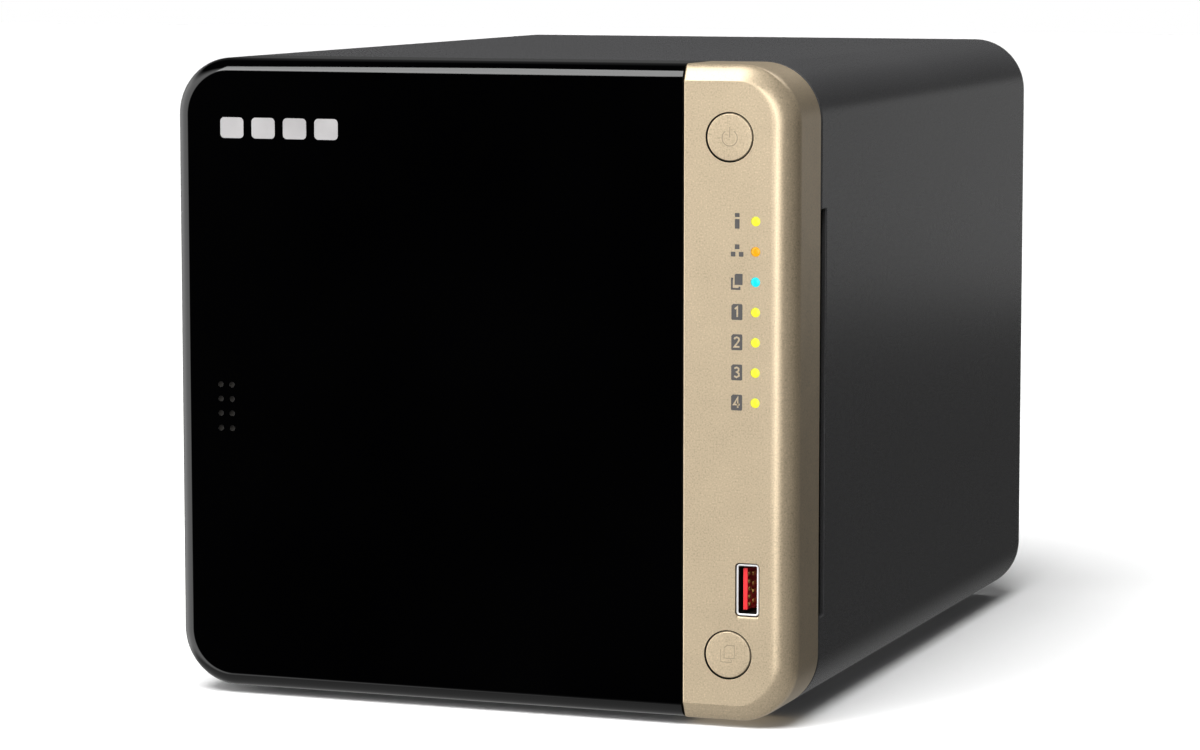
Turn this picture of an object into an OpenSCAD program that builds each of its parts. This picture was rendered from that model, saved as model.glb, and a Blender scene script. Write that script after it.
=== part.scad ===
// Four-bay desktop network storage enclosure, without drives.
// The origin is on the table under the middle of the case; the front faces -Y and +X is its right.
// Depths are counted from the front plane, and fd() turns a depth into Y.

/* [Body] */
// Overall width
body_w = 170; // [168:1:174]
// Overall depth, from the front plane to the rear edge of the sleeve
body_d = 226; // [225:1:232]
// Height of the case without its feet
body_h = 165.6; // [165:0.2:170]
// Height that the rubber feet add under the case
foot_h = 2; // [1.5:0.5:4]
// Radius of the four long corners of the case
corner_r = 15; // [14:0.5:16]
// Thickness of the steel sleeve
shell_t = 1.5; // [1:0.1:2]

/* [Front] */
// Depth of the front cover and of the control column
front_d = 21; // [20.5:0.5:21.5]
// Width of the control column
column_w = 29.5; // [29:0.5:30.5]
// Width of the rounding round the edge of the front cover
cover_round = 4; // [3:0.5:5]
// Height of the rounding at the top and bottom of the column
column_round_z = 4.3; // [3:0.1:5]
// Width of the rounding at the right edge of the column
column_round_x = 6.8; // [5:0.1:7.5]
// Wall thickness of the moulded front parts
wall = 2.2; // [2:0.1:2.4]

/* [Column controls] */
// Radius of the power and copy buttons
button_r = 6; // [5:0.1:6.5]
// Height of the middle of the power button above the table
power_z = 149.5; // [148:0.5:150]
// Height of the middle of the copy button above the table
copy_z = 19.1; // [18.5:0.1:21]
// Radius of each lamp
lamp_r = 1.25; // [1:0.05:1.5]
// Height of the highest lamp above the table
lamp_top_z = 128.7; // [126:0.1:130]
// Distance from one lamp to the next
lamp_pitch = 7.58; // [7:0.01:7.8]

/* [Drive bays] */
// Distance from one bay to the next
bay_pitch = 30; // [30:0.1:30.3]
// Height of each tray front
tray_h = 119.4; // [119:0.1:120]
// Width of each tray front
tray_w = 29; // [28.6:0.1:29.2]
// How far a button between the lever and the tray top is pressed
latch_travel = 1.5; // [1:0.1:2]

/* [Fan] */
// Side of the square fan
fan_w = 120; // [120:1:120]
// Thickness of the fan
fan_t = 25; // [24:1:25]
// Number of fan blades
blades = 9; // [7:1:11]

/* [Hidden] */
$fn = 48;

left_x = -body_w / 2;
right_x = body_w / 2;
bottom_z = foot_h;
top_z = foot_h + body_h;
column_x = right_x - column_w;      // left edge of the control column
column_round_d = 5;                 // depth of the column's rounding
corner_steps = 12;                  // straight pieces in a quarter circle of an outline
round_steps = 7;                    // slices in the rounding of a front edge
slice = 0.01;
over = 1;                           // how far a cutter reaches past the faces that it cuts
gap = 0.3;                          // clearance round most parts

sleeve_d = front_d + 0.9;           // the sleeve starts behind a narrow groove
sleeve_open_x = 68;                 // half width of the sleeve's open underside
plate_t = 1.2;                      // sheet metal of the chassis
panel_d = body_d - 3.5;             // outer face of the rear panel, recessed in the sleeve
air_slot_d = 26;                    // rear end of the sleeve's slot behind the column
air_slot_z = [26.25, 130.5];

button_x = column_x + 12.1;
lamp_x = column_x + 19;
usb_x = column_x + 17.2;
usb_z = 35.85;
usb_w = 13.1;                       // long side of a USB-A shell
usb_t = 5.9;                        // short side of a USB-A shell
metal_t = 0.4;                      // thickness of a connector's shell
screw_head_t = 1.8;                 // thickness of every screw head
front_board_d = 14.6;               // front face of the front board
board_t = 1.6;

bays = 4;
bay_left_x = left_x + 15.6;         // left limit of the first bay
bay_mid_z = 76;
tray_bottom_z = bay_mid_z - tray_h / 2;
tray_top_z = bay_mid_z + tray_h / 2;
tray_d = 9;                         // front face of the trays
tray_block_d = 23;                  // rear face of a tray's front block
drive_h = 101.6;                    // a 3.5 inch drive stands on its long side
drive_end_d = 171;
drive_left = -12.55;                // the drive's left face from the middle of its bay
rail_z = drive_h / 2;               // inner faces of a tray's rails from the bay's middle
rail_t = 2.1;

channel_left = -13.3;               // channel for the lever, from the middle of the bay
channel_right = -3.3;
channel_d = 18.2;                   // floor of the channel
lever_left = -12.9;
lever_right = -3.7;
lever_top_z = 107;
pivot_d = 13.2;
pivot_z = tray_bottom_z + 6.2;
pin_r = 1;

cage_left_x = bay_left_x - 1.8;     // inner faces of the cage
cage_right_x = bay_left_x + bays * bay_pitch + 1.8;
cage_bottom_z = 15.2;
cage_top_z = 137.4;
cage_d = 174;                       // rear end of the cage's side walls
backplane_d = 178;

board_x = cage_right_x + 4.6;       // left face of the mainboard
parts_x = board_x + board_t;        // right face of the mainboard, where its parts stand
port_d = panel_d + 0.4;             // rear faces of the ports

fan_x = -12;
fan_z = 76;
fan_hole = 52.5;                    // half the distance between the fan's screws
fan_d = panel_d - plate_t - fan_t;  // front face of the fan
fan_bore_r = 58;
hub_r = 19;
shaft_r = 1.5;

// ---- Helpers ----

function fd(d) = d - body_d / 2;
function bay_x(n) = bay_left_x + (n - 0.5) * bay_pitch;

// A quarter circle or quarter ellipse that starts at angle a.
function quarter(x, z, rx, rz, a) =
    [for (i = [0:corner_steps])
        let (t = a + 90 * i / corner_steps) [x + rx * cos(t), z + rz * sin(t)]];

arc_x = right_x - corner_r;
arc_low_z = bottom_z + corner_r;
arc_high_z = top_z - corner_r;

// Outline of the whole case, moved in by an inset.
function case_outline(inset) =
    let (r = corner_r - inset)
    concat(quarter(arc_x, arc_high_z, r, r, 0), quarter(-arc_x, arc_high_z, r, r, 90),
           quarter(-arc_x, arc_low_z, r, r, 180), quarter(arc_x, arc_low_z, r, r, 270));

// Outline of the part of the front left of x_end.
function cover_outline(inset, x_end) =
    let (r = corner_r - inset)
    concat([[x_end, top_z - inset]], quarter(-arc_x, arc_high_z, r, r, 90),
           quarter(-arc_x, arc_low_z, r, r, 180), [[x_end, bottom_z + inset]]);

// Outline of the part of the front right of x_start.
function column_outline(inset_x, inset_z, x_start) =
    let (rx = corner_r - inset_x, rz = corner_r - inset_z)
    concat([[x_start, bottom_z + inset_z]], quarter(arc_x, arc_low_z, rx, rz, 270),
           quarter(arc_x, arc_high_z, rx, rz, 0), [[x_start, top_z - inset_z]]);

// Extrudes an X-Z outline from depth d0 to depth d1.
module along_y(d0, d1) {
    translate([0, fd(d1), 0]) rotate([90, 0, 0]) linear_extrude(d1 - d0) children();
}

// Extrudes a Y-Z outline, whose first coordinate is a depth, from x0 to x1.
module along_x(x0, x1) {
    translate([x0, fd(0), 0]) rotate([90, 0, 90]) linear_extrude(x1 - x0) children();
}

module box(x0, x1, d0, d1, z0, z1) {
    translate([x0, fd(d0), z0]) cube([x1 - x0, d1 - d0, z1 - z0]);
}

module rod_y(x, z, d0, d1, r) {
    translate([x, fd(d0), z]) rotate([-90, 0, 0]) cylinder(r = r, h = d1 - d0);
}

module rod_x(x0, x1, d, z, r) {
    translate([x0, fd(d), z]) rotate([0, 90, 0]) cylinder(r = r, h = x1 - x0);
}

// A flat block with rounded corners, standing from z0 to z1.
module pad(x0, x1, d0, d1, z0, z1, r) {
    translate([0, 0, z0]) linear_extrude(z1 - z0)
        polygon(concat(quarter(x1 - r, fd(d1 - r), r, r, 0), quarter(x0 + r, fd(d1 - r), r, r, 90),
                       quarter(x0 + r, fd(d0 + r), r, r, 180), quarter(x1 - r, fd(d0 + r), r, r, 270)));
}

// A pan-head screw along Y, whose head faces the rear and ends at depth head_d.
module screw_y(x, z, head_d, head_r, thread_r, length) {
    neck_d = head_d - screw_head_t;
    difference() {
        union() {
            rod_y(x, z, neck_d, head_d, head_r);
            rod_y(x, z, neck_d - length, neck_d + 0.1, thread_r);
        }
        for (turn = [0, 90])
            translate([x, fd(head_d), z]) rotate([0, turn, 0])
                cube([head_r * 1.1, 1.4, 0.6], center = true);
    }
}

// ---- Case ----

tab_w = 12;                         // width of the sleeve's screw tabs
tab_reach = 8;                      // how far the upper tabs reach in
side_reach = 9;                     // how far the side tabs reach in
tab_hole_r = 1.8;
tab_thread_r = 1.65;
tab_inset = 6.2;                    // distance of the tabs' screws from the sleeve's outside
tab_screws = [[-52, top_z - tab_inset], [50, top_z - tab_inset],
              [left_x + tab_inset, 30], [right_x - tab_inset, 24]];

// A screw tab from x0 to x1 and z0 to z1
module tab(x0, x1, z0, z1) { box(x0, x1, panel_d, panel_d + plate_t, z0, z1); }

// Dark grey steel sleeve: top, both sides and the rounded lower corners
module case_cover() {
    inner_x = right_x - shell_t;
    inner_z = top_z - shell_t;
    half = tab_w / 2;
    color([0.30, 0.30, 0.31]) {
        difference() {
            along_y(sleeve_d, body_d) difference() {
                polygon(case_outline(0));
                polygon(case_outline(shell_t));
                translate([-sleeve_open_x, bottom_z - over])
                    square([2 * sleeve_open_x, shell_t + 2]);
            }
            // air slot behind the column
            box(arc_x, right_x + over, sleeve_d - over, air_slot_d, air_slot_z[0], air_slot_z[1]);
        }
        // screw tabs folded in at the rear edge
        difference() {
            union() {
                for (s = [tab_screws[0], tab_screws[1]])
                    tab(s[0] - half, s[0] + half, inner_z - tab_reach, inner_z);
                tab(-inner_x, side_reach - inner_x, tab_screws[2][1] - half, tab_screws[2][1] + half);
                tab(inner_x - side_reach, inner_x, tab_screws[3][1] - half, tab_screws[3][1] + half);
            }
            for (s = tab_screws) rod_y(s[0], s[1], panel_d - over, panel_d + 2, tab_hole_r);
        }
    }
}

plate_slots = 7;                    // air slots in a row of the base plate
plate_slot = [6, 40];               // width and length of each
plate_slot_pitch = 14;

// Steel floor of the chassis, between the sleeve's lower edges
module base_plate() {
    color([0.22, 0.22, 0.23]) difference() {
        pad(gap - sleeve_open_x, sleeve_open_x - gap, sleeve_d, body_d - 0.4,
            bottom_z, bottom_z + plate_t, 2);
        for (d = [66, 126]) for (n = [0:plate_slots - 1])
            let (x = (n - (plate_slots - 1) / 2) * plate_slot_pitch, half = plate_slot[0] / 2)
            pad(x - half, x + half, d, d + plate_slot[1],
                bottom_z - over, bottom_z + plate_t + over, 2.8);
    }
}

foot_w = 16;
foot_l = 24;
foot_x = 66;                        // outer sides of the feet
foot_depths = [31.6, 178];
foot_r = 3.2;

// Four rubber feet
module rubber_feet() {
    color([0.05, 0.05, 0.05])
        for (x = [-foot_x, foot_x - foot_w]) for (d = foot_depths)
            pad(x, x + foot_w, d, d + foot_l, 0, bottom_z, foot_r);
}

// Screws that hold the sleeve's tabs to the rear panel
module case_screws() {
    color([0.12, 0.12, 0.12]) for (s = tab_screws)
        screw_y(s[0], s[1], panel_d + plate_t + screw_head_t, 3, 1.6, 4);
}

grille_pitch = 8;
grille_r = 3.9;
grille_limit = 57;                  // radius of the honeycomb
grille_rows = 8;                    // rows of it above and below the fan's middle
vents = 9;                          // air slots along the top of the rear panel
vent_size = [8, 4];
vent_pitch = 12.4;
vent_x = -66;
vent_z = 146;
lock_spot = [69, 9];                // lower left corner of the security slot
lock_size = [7, 3];
fan_hole_r = 2.25;
reset_hole_r = 1.5;

// Steel rear wall of the chassis
module rear_panel() {
    color([0.25, 0.25, 0.26]) difference() {
        along_y(panel_d - plate_t, panel_d) difference() {
            union() {
                polygon(case_outline(shell_t + 0.3));
                translate([2 - sleeve_open_x, bottom_z + plate_t])
                    square([2 * sleeve_open_x - 4, corner_r]);
            }
            // honeycomb over the fan
            for (row = [-grille_rows:grille_rows]) for (n = [-grille_rows:grille_rows])
                let (x = grille_pitch * (n + (row % 2 == 0 ? 0 : 0.5)),
                     z = grille_pitch * row * sin(60))
                if (norm([x, z]) < grille_limit - grille_r)
                    translate([fan_x + x, fan_z + z]) rotate(30) circle(grille_r, $fn = 6);
            for (n = [0:vents - 1])
                translate([vent_x + n * vent_pitch, vent_z]) square(vent_size);
            translate(lock_spot) square(lock_size);
            for (p = ports)
                translate([parts_x - gap, p[0] - gap]) square(p[1] + [2 * gap, 2 * gap]);
        }
        for (x = [-fan_hole, fan_hole]) for (z = [-fan_hole, fan_hole])
            rod_y(fan_x + x, fan_z + z, panel_d - 3, panel_d + over, fan_hole_r);
        for (s = tab_screws) rod_y(s[0], s[1], panel_d - 3, panel_d + over, tab_thread_r);
        rod_y(reset_x, reset_z, panel_d - 3, panel_d + over, reset_hole_r);
    }
}

// ---- Front cover and frame ----

magnet_spots = [[-73, 156], [45, 156], [-73, 10.2], [45, 10.2]];
magnet_r = 3;
magnet_d = 6.2;                     // front faces of the magnets
magnet_t = 2;
keeper_d = 10.2;                    // front faces of the keeper plates, level with the bezel's
keeper_t = 1;
grip_x = [-72.5, -69.3];            // two rows of four small grip marks
grip_z = [82.3, 78.5, 74.7, 70.8];
grip_r = 0.75;
grip_depth = 0.25;

// Slices of a rounded front edge, from the front plane to full size
module rounded_cover(inset, x_end, d0, d1) {
    hull() {
        for (i = [0:round_steps])
            let (a = 90 * i / round_steps, r = cover_round - inset / 2)
            along_y(d0 + r * (1 - cos(a)), d0 + r * (1 - cos(a)) + slice)
                polygon(cover_outline(inset + r * (1 - sin(a)), x_end));
        along_y(d1 - slice, d1) polygon(cover_outline(inset, x_end));
    }
}

// Smoked gloss lid over the drive bays
module front_cover() {
    color([0.02, 0.02, 0.02]) difference() {
        union() {
            difference() {
                rounded_cover(0, column_x - 0.25, 0, front_d);
                rounded_cover(wall, column_x - wall, wall, front_d + over);
                // the right rim is shallow, so that it clears the bezel
                box(column_x - wall - over, column_x + over, tray_d - 0.2, front_d + over,
                    bottom_z + wall, top_z - wall);
            }
            for (m = magnet_spots)
                rod_y(m[0], m[1], wall - 0.1, magnet_d + magnet_t, magnet_r + 1.2);
        }
        for (m = magnet_spots)
            rod_y(m[0], m[1], magnet_d, magnet_d + magnet_t + over, magnet_r + 0.05);
        for (x = grip_x) for (z = grip_z) rod_y(x, z, -over, grip_depth, grip_r);
    }
}

module cover_magnets() {
    color([0.75, 0.75, 0.77])
        for (m = magnet_spots) rod_y(m[0], m[1], magnet_d, magnet_d + magnet_t, magnet_r);
}

module keeper_plates() {
    color([0.6, 0.6, 0.62])
        for (m = magnet_spots) rod_y(m[0], m[1], keeper_d, keeper_d + keeper_t, magnet_r + 1);
}

frame_inset = wall + 0.6;
frame_t = 2.5;                      // thickness of the bezel's face
frame_rim = 2;                      // thickness of its outer rim

// Black bezel round the four trays, inside the cover
module front_frame() {
    color([0.07, 0.07, 0.075]) difference() {
        along_y(keeper_d, front_d) polygon(cover_outline(frame_inset, column_x - 0.5));
        // hollow back, with a wall round the trays
        along_y(keeper_d + frame_t, front_d + over) difference() {
            polygon(cover_outline(frame_inset + frame_rim, column_x - frame_rim - gap));
            translate([bay_left_x - 2.4, tray_bottom_z - 2.4])
                square([bays * bay_pitch + 4.8, tray_h + 4.8]);
        }
        // opening for the trays
        box(bay_left_x - 0.6, bay_left_x + bays * bay_pitch + 0.6, keeper_d - over, front_d + over,
            tray_bottom_z - 0.7, tray_top_z + 0.7);
        for (m = magnet_spots)
            rod_y(m[0], m[1], keeper_d - over, keeper_d + keeper_t, magnet_r + 1.05);
    }
}

// ---- Control column ----

module rounded_column(inset, x_start, d0, d1) {
    rx = column_round_x - inset / 2;
    rz = column_round_z - inset / 2;
    rd = column_round_d - inset / 2;
    hull() {
        for (i = [0:round_steps])
            let (a = 90 * i / round_steps)
            along_y(d0 + rd * (1 - cos(a)), d0 + rd * (1 - cos(a)) + slice)
                polygon(column_outline(inset + rx * (1 - sin(a)), inset + rz * (1 - sin(a)),
                                       x_start));
        along_y(d1 - slice, d1) polygon(column_outline(inset, inset, x_start));
    }
}

boss_spots = [[61.5, 66], [61.5, 112]];
boss_r = 2.6;
boss_hole_r = 1.2;
column_lip = 1.8;                   // thickness of the column's left wall
lamps = 7;

// Gold column that wraps round the right front corner
module control_panel() {
    color([0.80, 0.72, 0.58]) difference() {
        union() {
            difference() {
                rounded_column(0, column_x, 0, front_d);
                rounded_column(wall, column_x + column_lip, wall, front_d + over);
            }
            for (b = boss_spots) rod_y(b[0], b[1], wall - 0.2, front_board_d, boss_r);
        }
        for (z = [power_z, copy_z]) rod_y(button_x, z, -over, wall + over, button_r + gap);
        for (n = [0:lamps - 1])
            rod_y(lamp_x, lamp_top_z - n * lamp_pitch, -over, wall + over, lamp_r);
        box(usb_x - usb_t / 2 - gap, usb_x + usb_t / 2 + gap, -over, wall + over,
            usb_z - usb_w / 2 - gap, usb_z + usb_w / 2 + gap);
        for (b = boss_spots)
            rod_y(b[0], b[1], front_board_d - 6, front_board_d + over, boss_hole_r);
    }
}

button_travel = 1;
flange_w = 1.1;                     // how far the cap's flange reaches behind the column's wall
stem_r = 1.5;
switch_h = 3.2;                     // height of a push switch on the front board
plunger_h = 0.8;
stem_d = front_board_d - switch_h - plunger_h - button_travel - 0.1;

// Round cap with a retaining flange behind the column's wall and a stem to its switch
module button_cap(z) {
    translate([button_x, fd(0), z]) rotate([-90, 0, 0]) rotate_extrude()
        polygon([[0, 0.1], [button_r - 1.6, 0.15], [button_r - 0.4, 0.4], [button_r, 0.8],
                 [button_r, wall + gap], [button_r + flange_w, wall + gap],
                 [button_r + flange_w, wall + 1.3], [stem_r, wall + 1.3], [stem_r, stem_d],
                 [0, stem_d]]);
}

module power_button() { color([0.80, 0.72, 0.58]) button_cap(power_z); }

module copy_button() { color([0.80, 0.72, 0.58]) button_cap(copy_z); }

// One lamp: a clear rod from the column's face back to the front board
module lamp(n) {
    rod_y(lamp_x, lamp_top_z - n * lamp_pitch, 0.05, front_board_d, lamp_r - 0.05);
}

module led_status() { color([0.98, 1.0, 0.25]) lamp(0); }

module led_network() { color([1.0, 0.8, 0.05]) lamp(1); }

module led_copy() { color([0.05, 0.95, 1.0]) lamp(2); }

module led_bays() { color([0.98, 1.0, 0.25]) for (n = [3:lamps - 1]) lamp(n); }

// Pressed metal tube of a USB-A socket; its long side is along Z
module usb_shell(x, z, d0, d1) {
    difference() {
        box(x - usb_t / 2, x + usb_t / 2, d0, d1, z - usb_w / 2, z + usb_w / 2);
        box(x - usb_t / 2 + metal_t, x + usb_t / 2 - metal_t, d0 - 1, d1 + 1,
            z - usb_w / 2 + metal_t, z + usb_w / 2 - metal_t);
    }
}

module front_usb_shell() {
    color([0.8, 0.8, 0.82]) usb_shell(usb_x, usb_z, 0.4, front_board_d);
}

// Insulator of the front USB socket: its tongue and the block that closes the socket's rear
module front_usb_tongue() {
    color([0.85, 0.26, 0.26]) {
        box(usb_x - usb_t / 2 + metal_t, usb_x - usb_t / 2 + 2.5, 1.4, 10,
            usb_z - usb_w / 2 + 0.8, usb_z + usb_w / 2 - 0.8);
        box(usb_x - usb_t / 2 + metal_t, usb_x + usb_t / 2 - metal_t, 9.8, front_board_d,
            usb_z - usb_w / 2 + metal_t, usb_z + usb_w / 2 - metal_t);
    }
}

module front_board() {
    color([0.05, 0.25, 0.14]) difference() {
        box(column_x + 2.6, right_x - 4, front_board_d, front_board_d + board_t, 11, 157);
        for (b = boss_spots)
            rod_y(b[0], b[1], front_board_d - 1, front_board_d + board_t + 1, 1.5);
    }
}

// Push switches behind the two column buttons
module front_switches() {
    color([0.12, 0.12, 0.13]) for (z = [power_z, copy_z]) {
        box(button_x - 3, button_x + 3, front_board_d - switch_h, front_board_d, z - 3, z + 3);
        rod_y(button_x, z, front_board_d - switch_h - plunger_h, front_board_d - 3.1, 1.7);
    }
}

module front_board_screws() {
    color([0.7, 0.7, 0.72]) for (b = boss_spots)
        screw_y(b[0], b[1], front_board_d + board_t + screw_head_t, 2.4, 1.15, 5);
}

// ---- Drive cage ----

cage_foot_w = 9;                    // width of the flanges on the base plate
joggle_x = -66.3;                   // where the left flange steps down past the sleeve's edge
joggle_z = 4.6;
flange_d = front_d + 3;             // front ends of the flanges
bezel_flange_w = 8;                 // width of the left wall's flange behind the bezel

// Side walls of the drive cage; they stand on the base plate and carry the decks
module cage_side_walls() {
    floor_z = bottom_z + plate_t;
    roof_z = cage_top_z + plate_t;
    left_wall_x = cage_left_x - plate_t;
    window_l = 32;
    window_h = 14;
    window_step_d = 42;
    window_step_z = 33;
    color([0.55, 0.56, 0.58]) difference() {
        union() {
            // left wall, whose flange steps inwards and down to the base plate
            box(left_wall_x, cage_left_x, front_d, cage_d, joggle_z, roof_z);
            box(left_wall_x, joggle_x, flange_d, cage_d, joggle_z, joggle_z + plate_t);
            box(joggle_x - plate_t, joggle_x, flange_d, cage_d, floor_z, joggle_z + plate_t);
            box(joggle_x - plate_t + 1, joggle_x + cage_foot_w, flange_d, cage_d,
                floor_z, floor_z + plate_t);
            // flange of the left wall behind the bezel
            box(cage_left_x - bezel_flange_w, cage_left_x, front_d, front_d + plate_t,
                tray_bottom_z, cage_top_z);
            // right wall and its flange
            box(cage_right_x, cage_right_x + plate_t, front_d, cage_d, floor_z, roof_z);
            box(cage_right_x, cage_right_x + cage_foot_w, flange_d, cage_d,
                floor_z, floor_z + plate_t);
        }
        // air windows
        for (row = [0:2]) for (n = [0:2])
            let (d = 40 + n * window_step_d, z = 37 + row * window_step_z)
            box(left_x, right_x, d, d + window_l, z, z + window_h);
    }
}

// Decks over and under the bays
module cage_decks() {
    color([0.55, 0.56, 0.58]) difference() {
        for (z = [cage_top_z, cage_bottom_z - plate_t])
            box(cage_left_x, cage_right_x, front_d, backplane_d, z, z + plate_t);
        // air windows
        for (n = [1:bays])
            box(bay_x(n) - air_half, bay_x(n) + air_half, air_start_d, air_end_d, 8, top_z);
    }
}

air_half = 8;                       // half width of the air windows under and over each bay
air_start_d = 50;
air_end_d = 150;

rib_half = 0.7;                     // half thickness of the ribs between the bays
rib_h = 2.4;
rails_d = tray_block_d + 0.5;       // front ends of the guides

// Guides for the trays' rails, moulded with a rib between the bays; side is 1 below, -1 above
module bay_rails(side) {
    near = side > 0 ? cage_bottom_z : cage_top_z;
    rail_face = bay_mid_z - side * (rail_z + rail_t + 0.4);
    tip = rail_face + side * rib_h;
    color([0.10, 0.10, 0.11]) difference() {
        union() {
            box(cage_left_x, cage_right_x, rails_d, cage_d,
                min(near, rail_face), max(near, rail_face));
            for (n = [0:bays])
                let (x = bay_left_x + n * bay_pitch,
                     x0 = n == 0 ? cage_left_x : x - rib_half,
                     x1 = n == bays ? cage_right_x : x + rib_half)
                box(x0, x1, rails_d, cage_d, min(near, tip), max(near, tip));
        }
        for (n = [1:bays])
            box(bay_x(n) - air_half, bay_x(n) + air_half, air_start_d, air_end_d,
                min(near, tip) - over, max(near, tip) + over);
    }
}

module bay_rails_lower() { bay_rails(1); }

module bay_rails_upper() { bay_rails(-1); }

// ---- Trays ----

// Start and end depths of the windows in a tray's side plate, and half their height
side_windows = [[34, 54], [58, 72], [96, 116], [134, 150]];
window_half = 41;
slits = 24;                         // slits of the grille in a tray's front
slit_pitch = 4.4;
slit_h = 1.8;
side_t = 1.25;                      // thickness of a tray's side plate
grille_edge = 1.6;                  // distance of the sunk grille from the channel and the side
// Screw holes under a 3.5 inch drive: distance from its connector end, and the two spacings
large_first = 41.28;
large_along = 44.45;
large_across = 95.25;
large_hole_r = 1.8;
// The same for a 2.5 inch drive, which sits lower in the tray
small_first = 14;
small_along = 76.6;
small_across = 61.72;
small_hole_r = 1.6;
small_mid_z = 61;

// Four screw holes through a side plate, whose left face is at x
module drive_holes(x, mid_z, first, along, across, r) {
    for (d = [drive_end_d - first, drive_end_d - first - along])
        for (z = [mid_z - across / 2, mid_z + across / 2]) rod_x(x - over, x + 2, d, z, r);
}

// Tray for one drive: front block with the lever's channel, side plate and two rails
module tray(n) {
    x = bay_x(n);
    side_x = x + drive_left - side_t - 0.1;
    grille_x0 = x + channel_right + grille_edge;
    grille_x1 = x + tray_w / 2 - grille_edge;
    color([0.09, 0.09, 0.10]) difference() {
        union() {
            box(x - tray_w / 2, x + tray_w / 2, tray_d, tray_block_d, tray_bottom_z, tray_top_z);
            box(side_x, side_x + side_t, tray_block_d - 0.1, drive_end_d,
                bay_mid_z - rail_z - 0.1, bay_mid_z + rail_z + 0.1);
            for (s = [-1, 1])
                box(side_x, x + 13.6, tray_block_d - 0.1, drive_end_d,
                    bay_mid_z + s * (rail_z + 0.1 + rail_t / 2) - rail_t / 2,
                    bay_mid_z + s * (rail_z + 0.1 + rail_t / 2) + rail_t / 2);
        }
        // channel for the lever and the latch button
        box(x + channel_left, x + channel_right, tray_d - over, channel_d,
            tray_bottom_z + 1.4, tray_top_z - 6.7);
        // hollow behind the grille
        box(grille_x0, grille_x1, tray_d + 2.6, tray_block_d + over,
            tray_bottom_z + 4, tray_top_z - 4);
        // sunk grille face
        box(grille_x0, grille_x1, tray_d - over, tray_d + 0.9, tray_bottom_z + 4, tray_top_z - 4);
        for (i = [0:slits - 1])
            let (z = tray_bottom_z + 8.2 + i * slit_pitch)
            box(grille_x0 + 1.8, grille_x1 - 1.8, tray_d - over, tray_d + 4, z, z + slit_h);
        // pivot hole
        rod_x(x + channel_left - 0.6, x + channel_right + 0.6, pivot_d, pivot_z, pin_r);
        // windows in the side plate
        for (w = side_windows)
            box(side_x - over, side_x + 2, w[0], w[1],
                bay_mid_z - window_half, bay_mid_z + window_half);
        drive_holes(side_x, bay_mid_z, large_first, large_along, large_across, large_hole_r);
        drive_holes(side_x, small_mid_z, small_first, small_along, small_across, small_hole_r);
    }
}

lever_foot_r = 3.4;

// Pull lever, which pivots at its foot
module tray_lever(n) {
    x = bay_x(n);
    r = lever_foot_r;
    panel_edge = 1.6;
    color([0.16, 0.16, 0.17]) difference() {
        along_x(x + lever_left, x + lever_right)
            polygon([[pivot_d - r, pivot_z], [pivot_d, pivot_z - r],
                     [pivot_d + r, pivot_z], [pivot_d + r, pivot_z + 3],
                     [tray_d + 5, pivot_z + 10], [tray_d + 5, lever_top_z - 8],
                     [tray_d + 7.5, lever_top_z - 5], [tray_d + 7.5, lever_top_z],
                     [tray_d + 0.2, lever_top_z], [tray_d + 0.2, pivot_z + 2]]);
        rod_x(x + lever_left - over, x + lever_right + over, pivot_d, pivot_z, pin_r + 0.03);
        // chamfered top left corner
        translate([x + lever_left, fd(tray_d), lever_top_z]) rotate([0, 45, 0])
            cube([4.4, 30, 4.4], center = true);
        // long sunk panel in the face
        box(x + lever_left + panel_edge, x + lever_right - panel_edge, tray_d - over, tray_d + 0.9,
            pivot_z + 12, lever_top_z - 9);
    }
}

module tray_pin(n) {
    color([0.7, 0.7, 0.72])
        rod_x(bay_x(n) + channel_left - 0.5, bay_x(n) + channel_right + 0.5,
              pivot_d, pivot_z, pin_r - 0.02);
}

dish_r = 10.4;                      // radius of the finger dish in a latch button

// Press button that lets the lever go
module tray_latch(n) {
    x = bay_x(n);
    color([0.22, 0.22, 0.24]) difference() {
        box(x + lever_left, x + lever_right, tray_d + 0.2, channel_d - latch_travel - 0.3,
            lever_top_z + 0.8, tray_top_z - 7.1);
        // shallow finger dish
        translate([x + (lever_left + lever_right) / 2, fd(tray_d - 9), lever_top_z + 11])
            rotate([0, 90, 0]) cylinder(r = dish_r, h = 6.4, center = true);
    }
}

// ---- Backplane ----

module backplane() {
    color([0.05, 0.25, 0.14]) difference() {
        box(cage_left_x, parts_x - 4.3, backplane_d, backplane_d + board_t,
            cage_bottom_z - plate_t, cage_top_z + plate_t);
        for (n = [1:bays])
            box(bay_x(n) - 2, bay_x(n) + 12, backplane_d - 1, backplane_d + 3, 24, 128);
        for (n = [1:bays])
            box(bay_x(n) - 11, bay_x(n) - 4, backplane_d - 1, backplane_d + 3, 84, 128);
    }
}

socket_z = 28;                      // lower end of the sockets
socket_h = 44;

module sata_sockets() {
    color([0.08, 0.08, 0.09]) for (n = [1:bays])
        difference() {
            box(bay_x(n) - 10.4, bay_x(n) - 4.4, drive_end_d + 0.4, backplane_d,
                socket_z, socket_z + socket_h);
            box(bay_x(n) - 8.4, bay_x(n) - 6, drive_end_d - 1, drive_end_d + 4.5,
                socket_z + 2, socket_z + 25);
            box(bay_x(n) - 8.4, bay_x(n) - 6, drive_end_d - 1, drive_end_d + 4.5,
                socket_z + 28, socket_z + 42);
        }
}

// Slot on the mainboard that the backplane's edge plugs into
module backplane_slot() {
    color([0.08, 0.08, 0.09]) difference() {
        box(board_x - 4.4, board_x, backplane_d - 2.6, backplane_d + board_t + 2.6, 40, 112);
        box(board_x - 5, parts_x - 4.2, backplane_d - 0.05, backplane_d + board_t + 0.05, 39, 113);
    }
}

// ---- Fan ----

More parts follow.
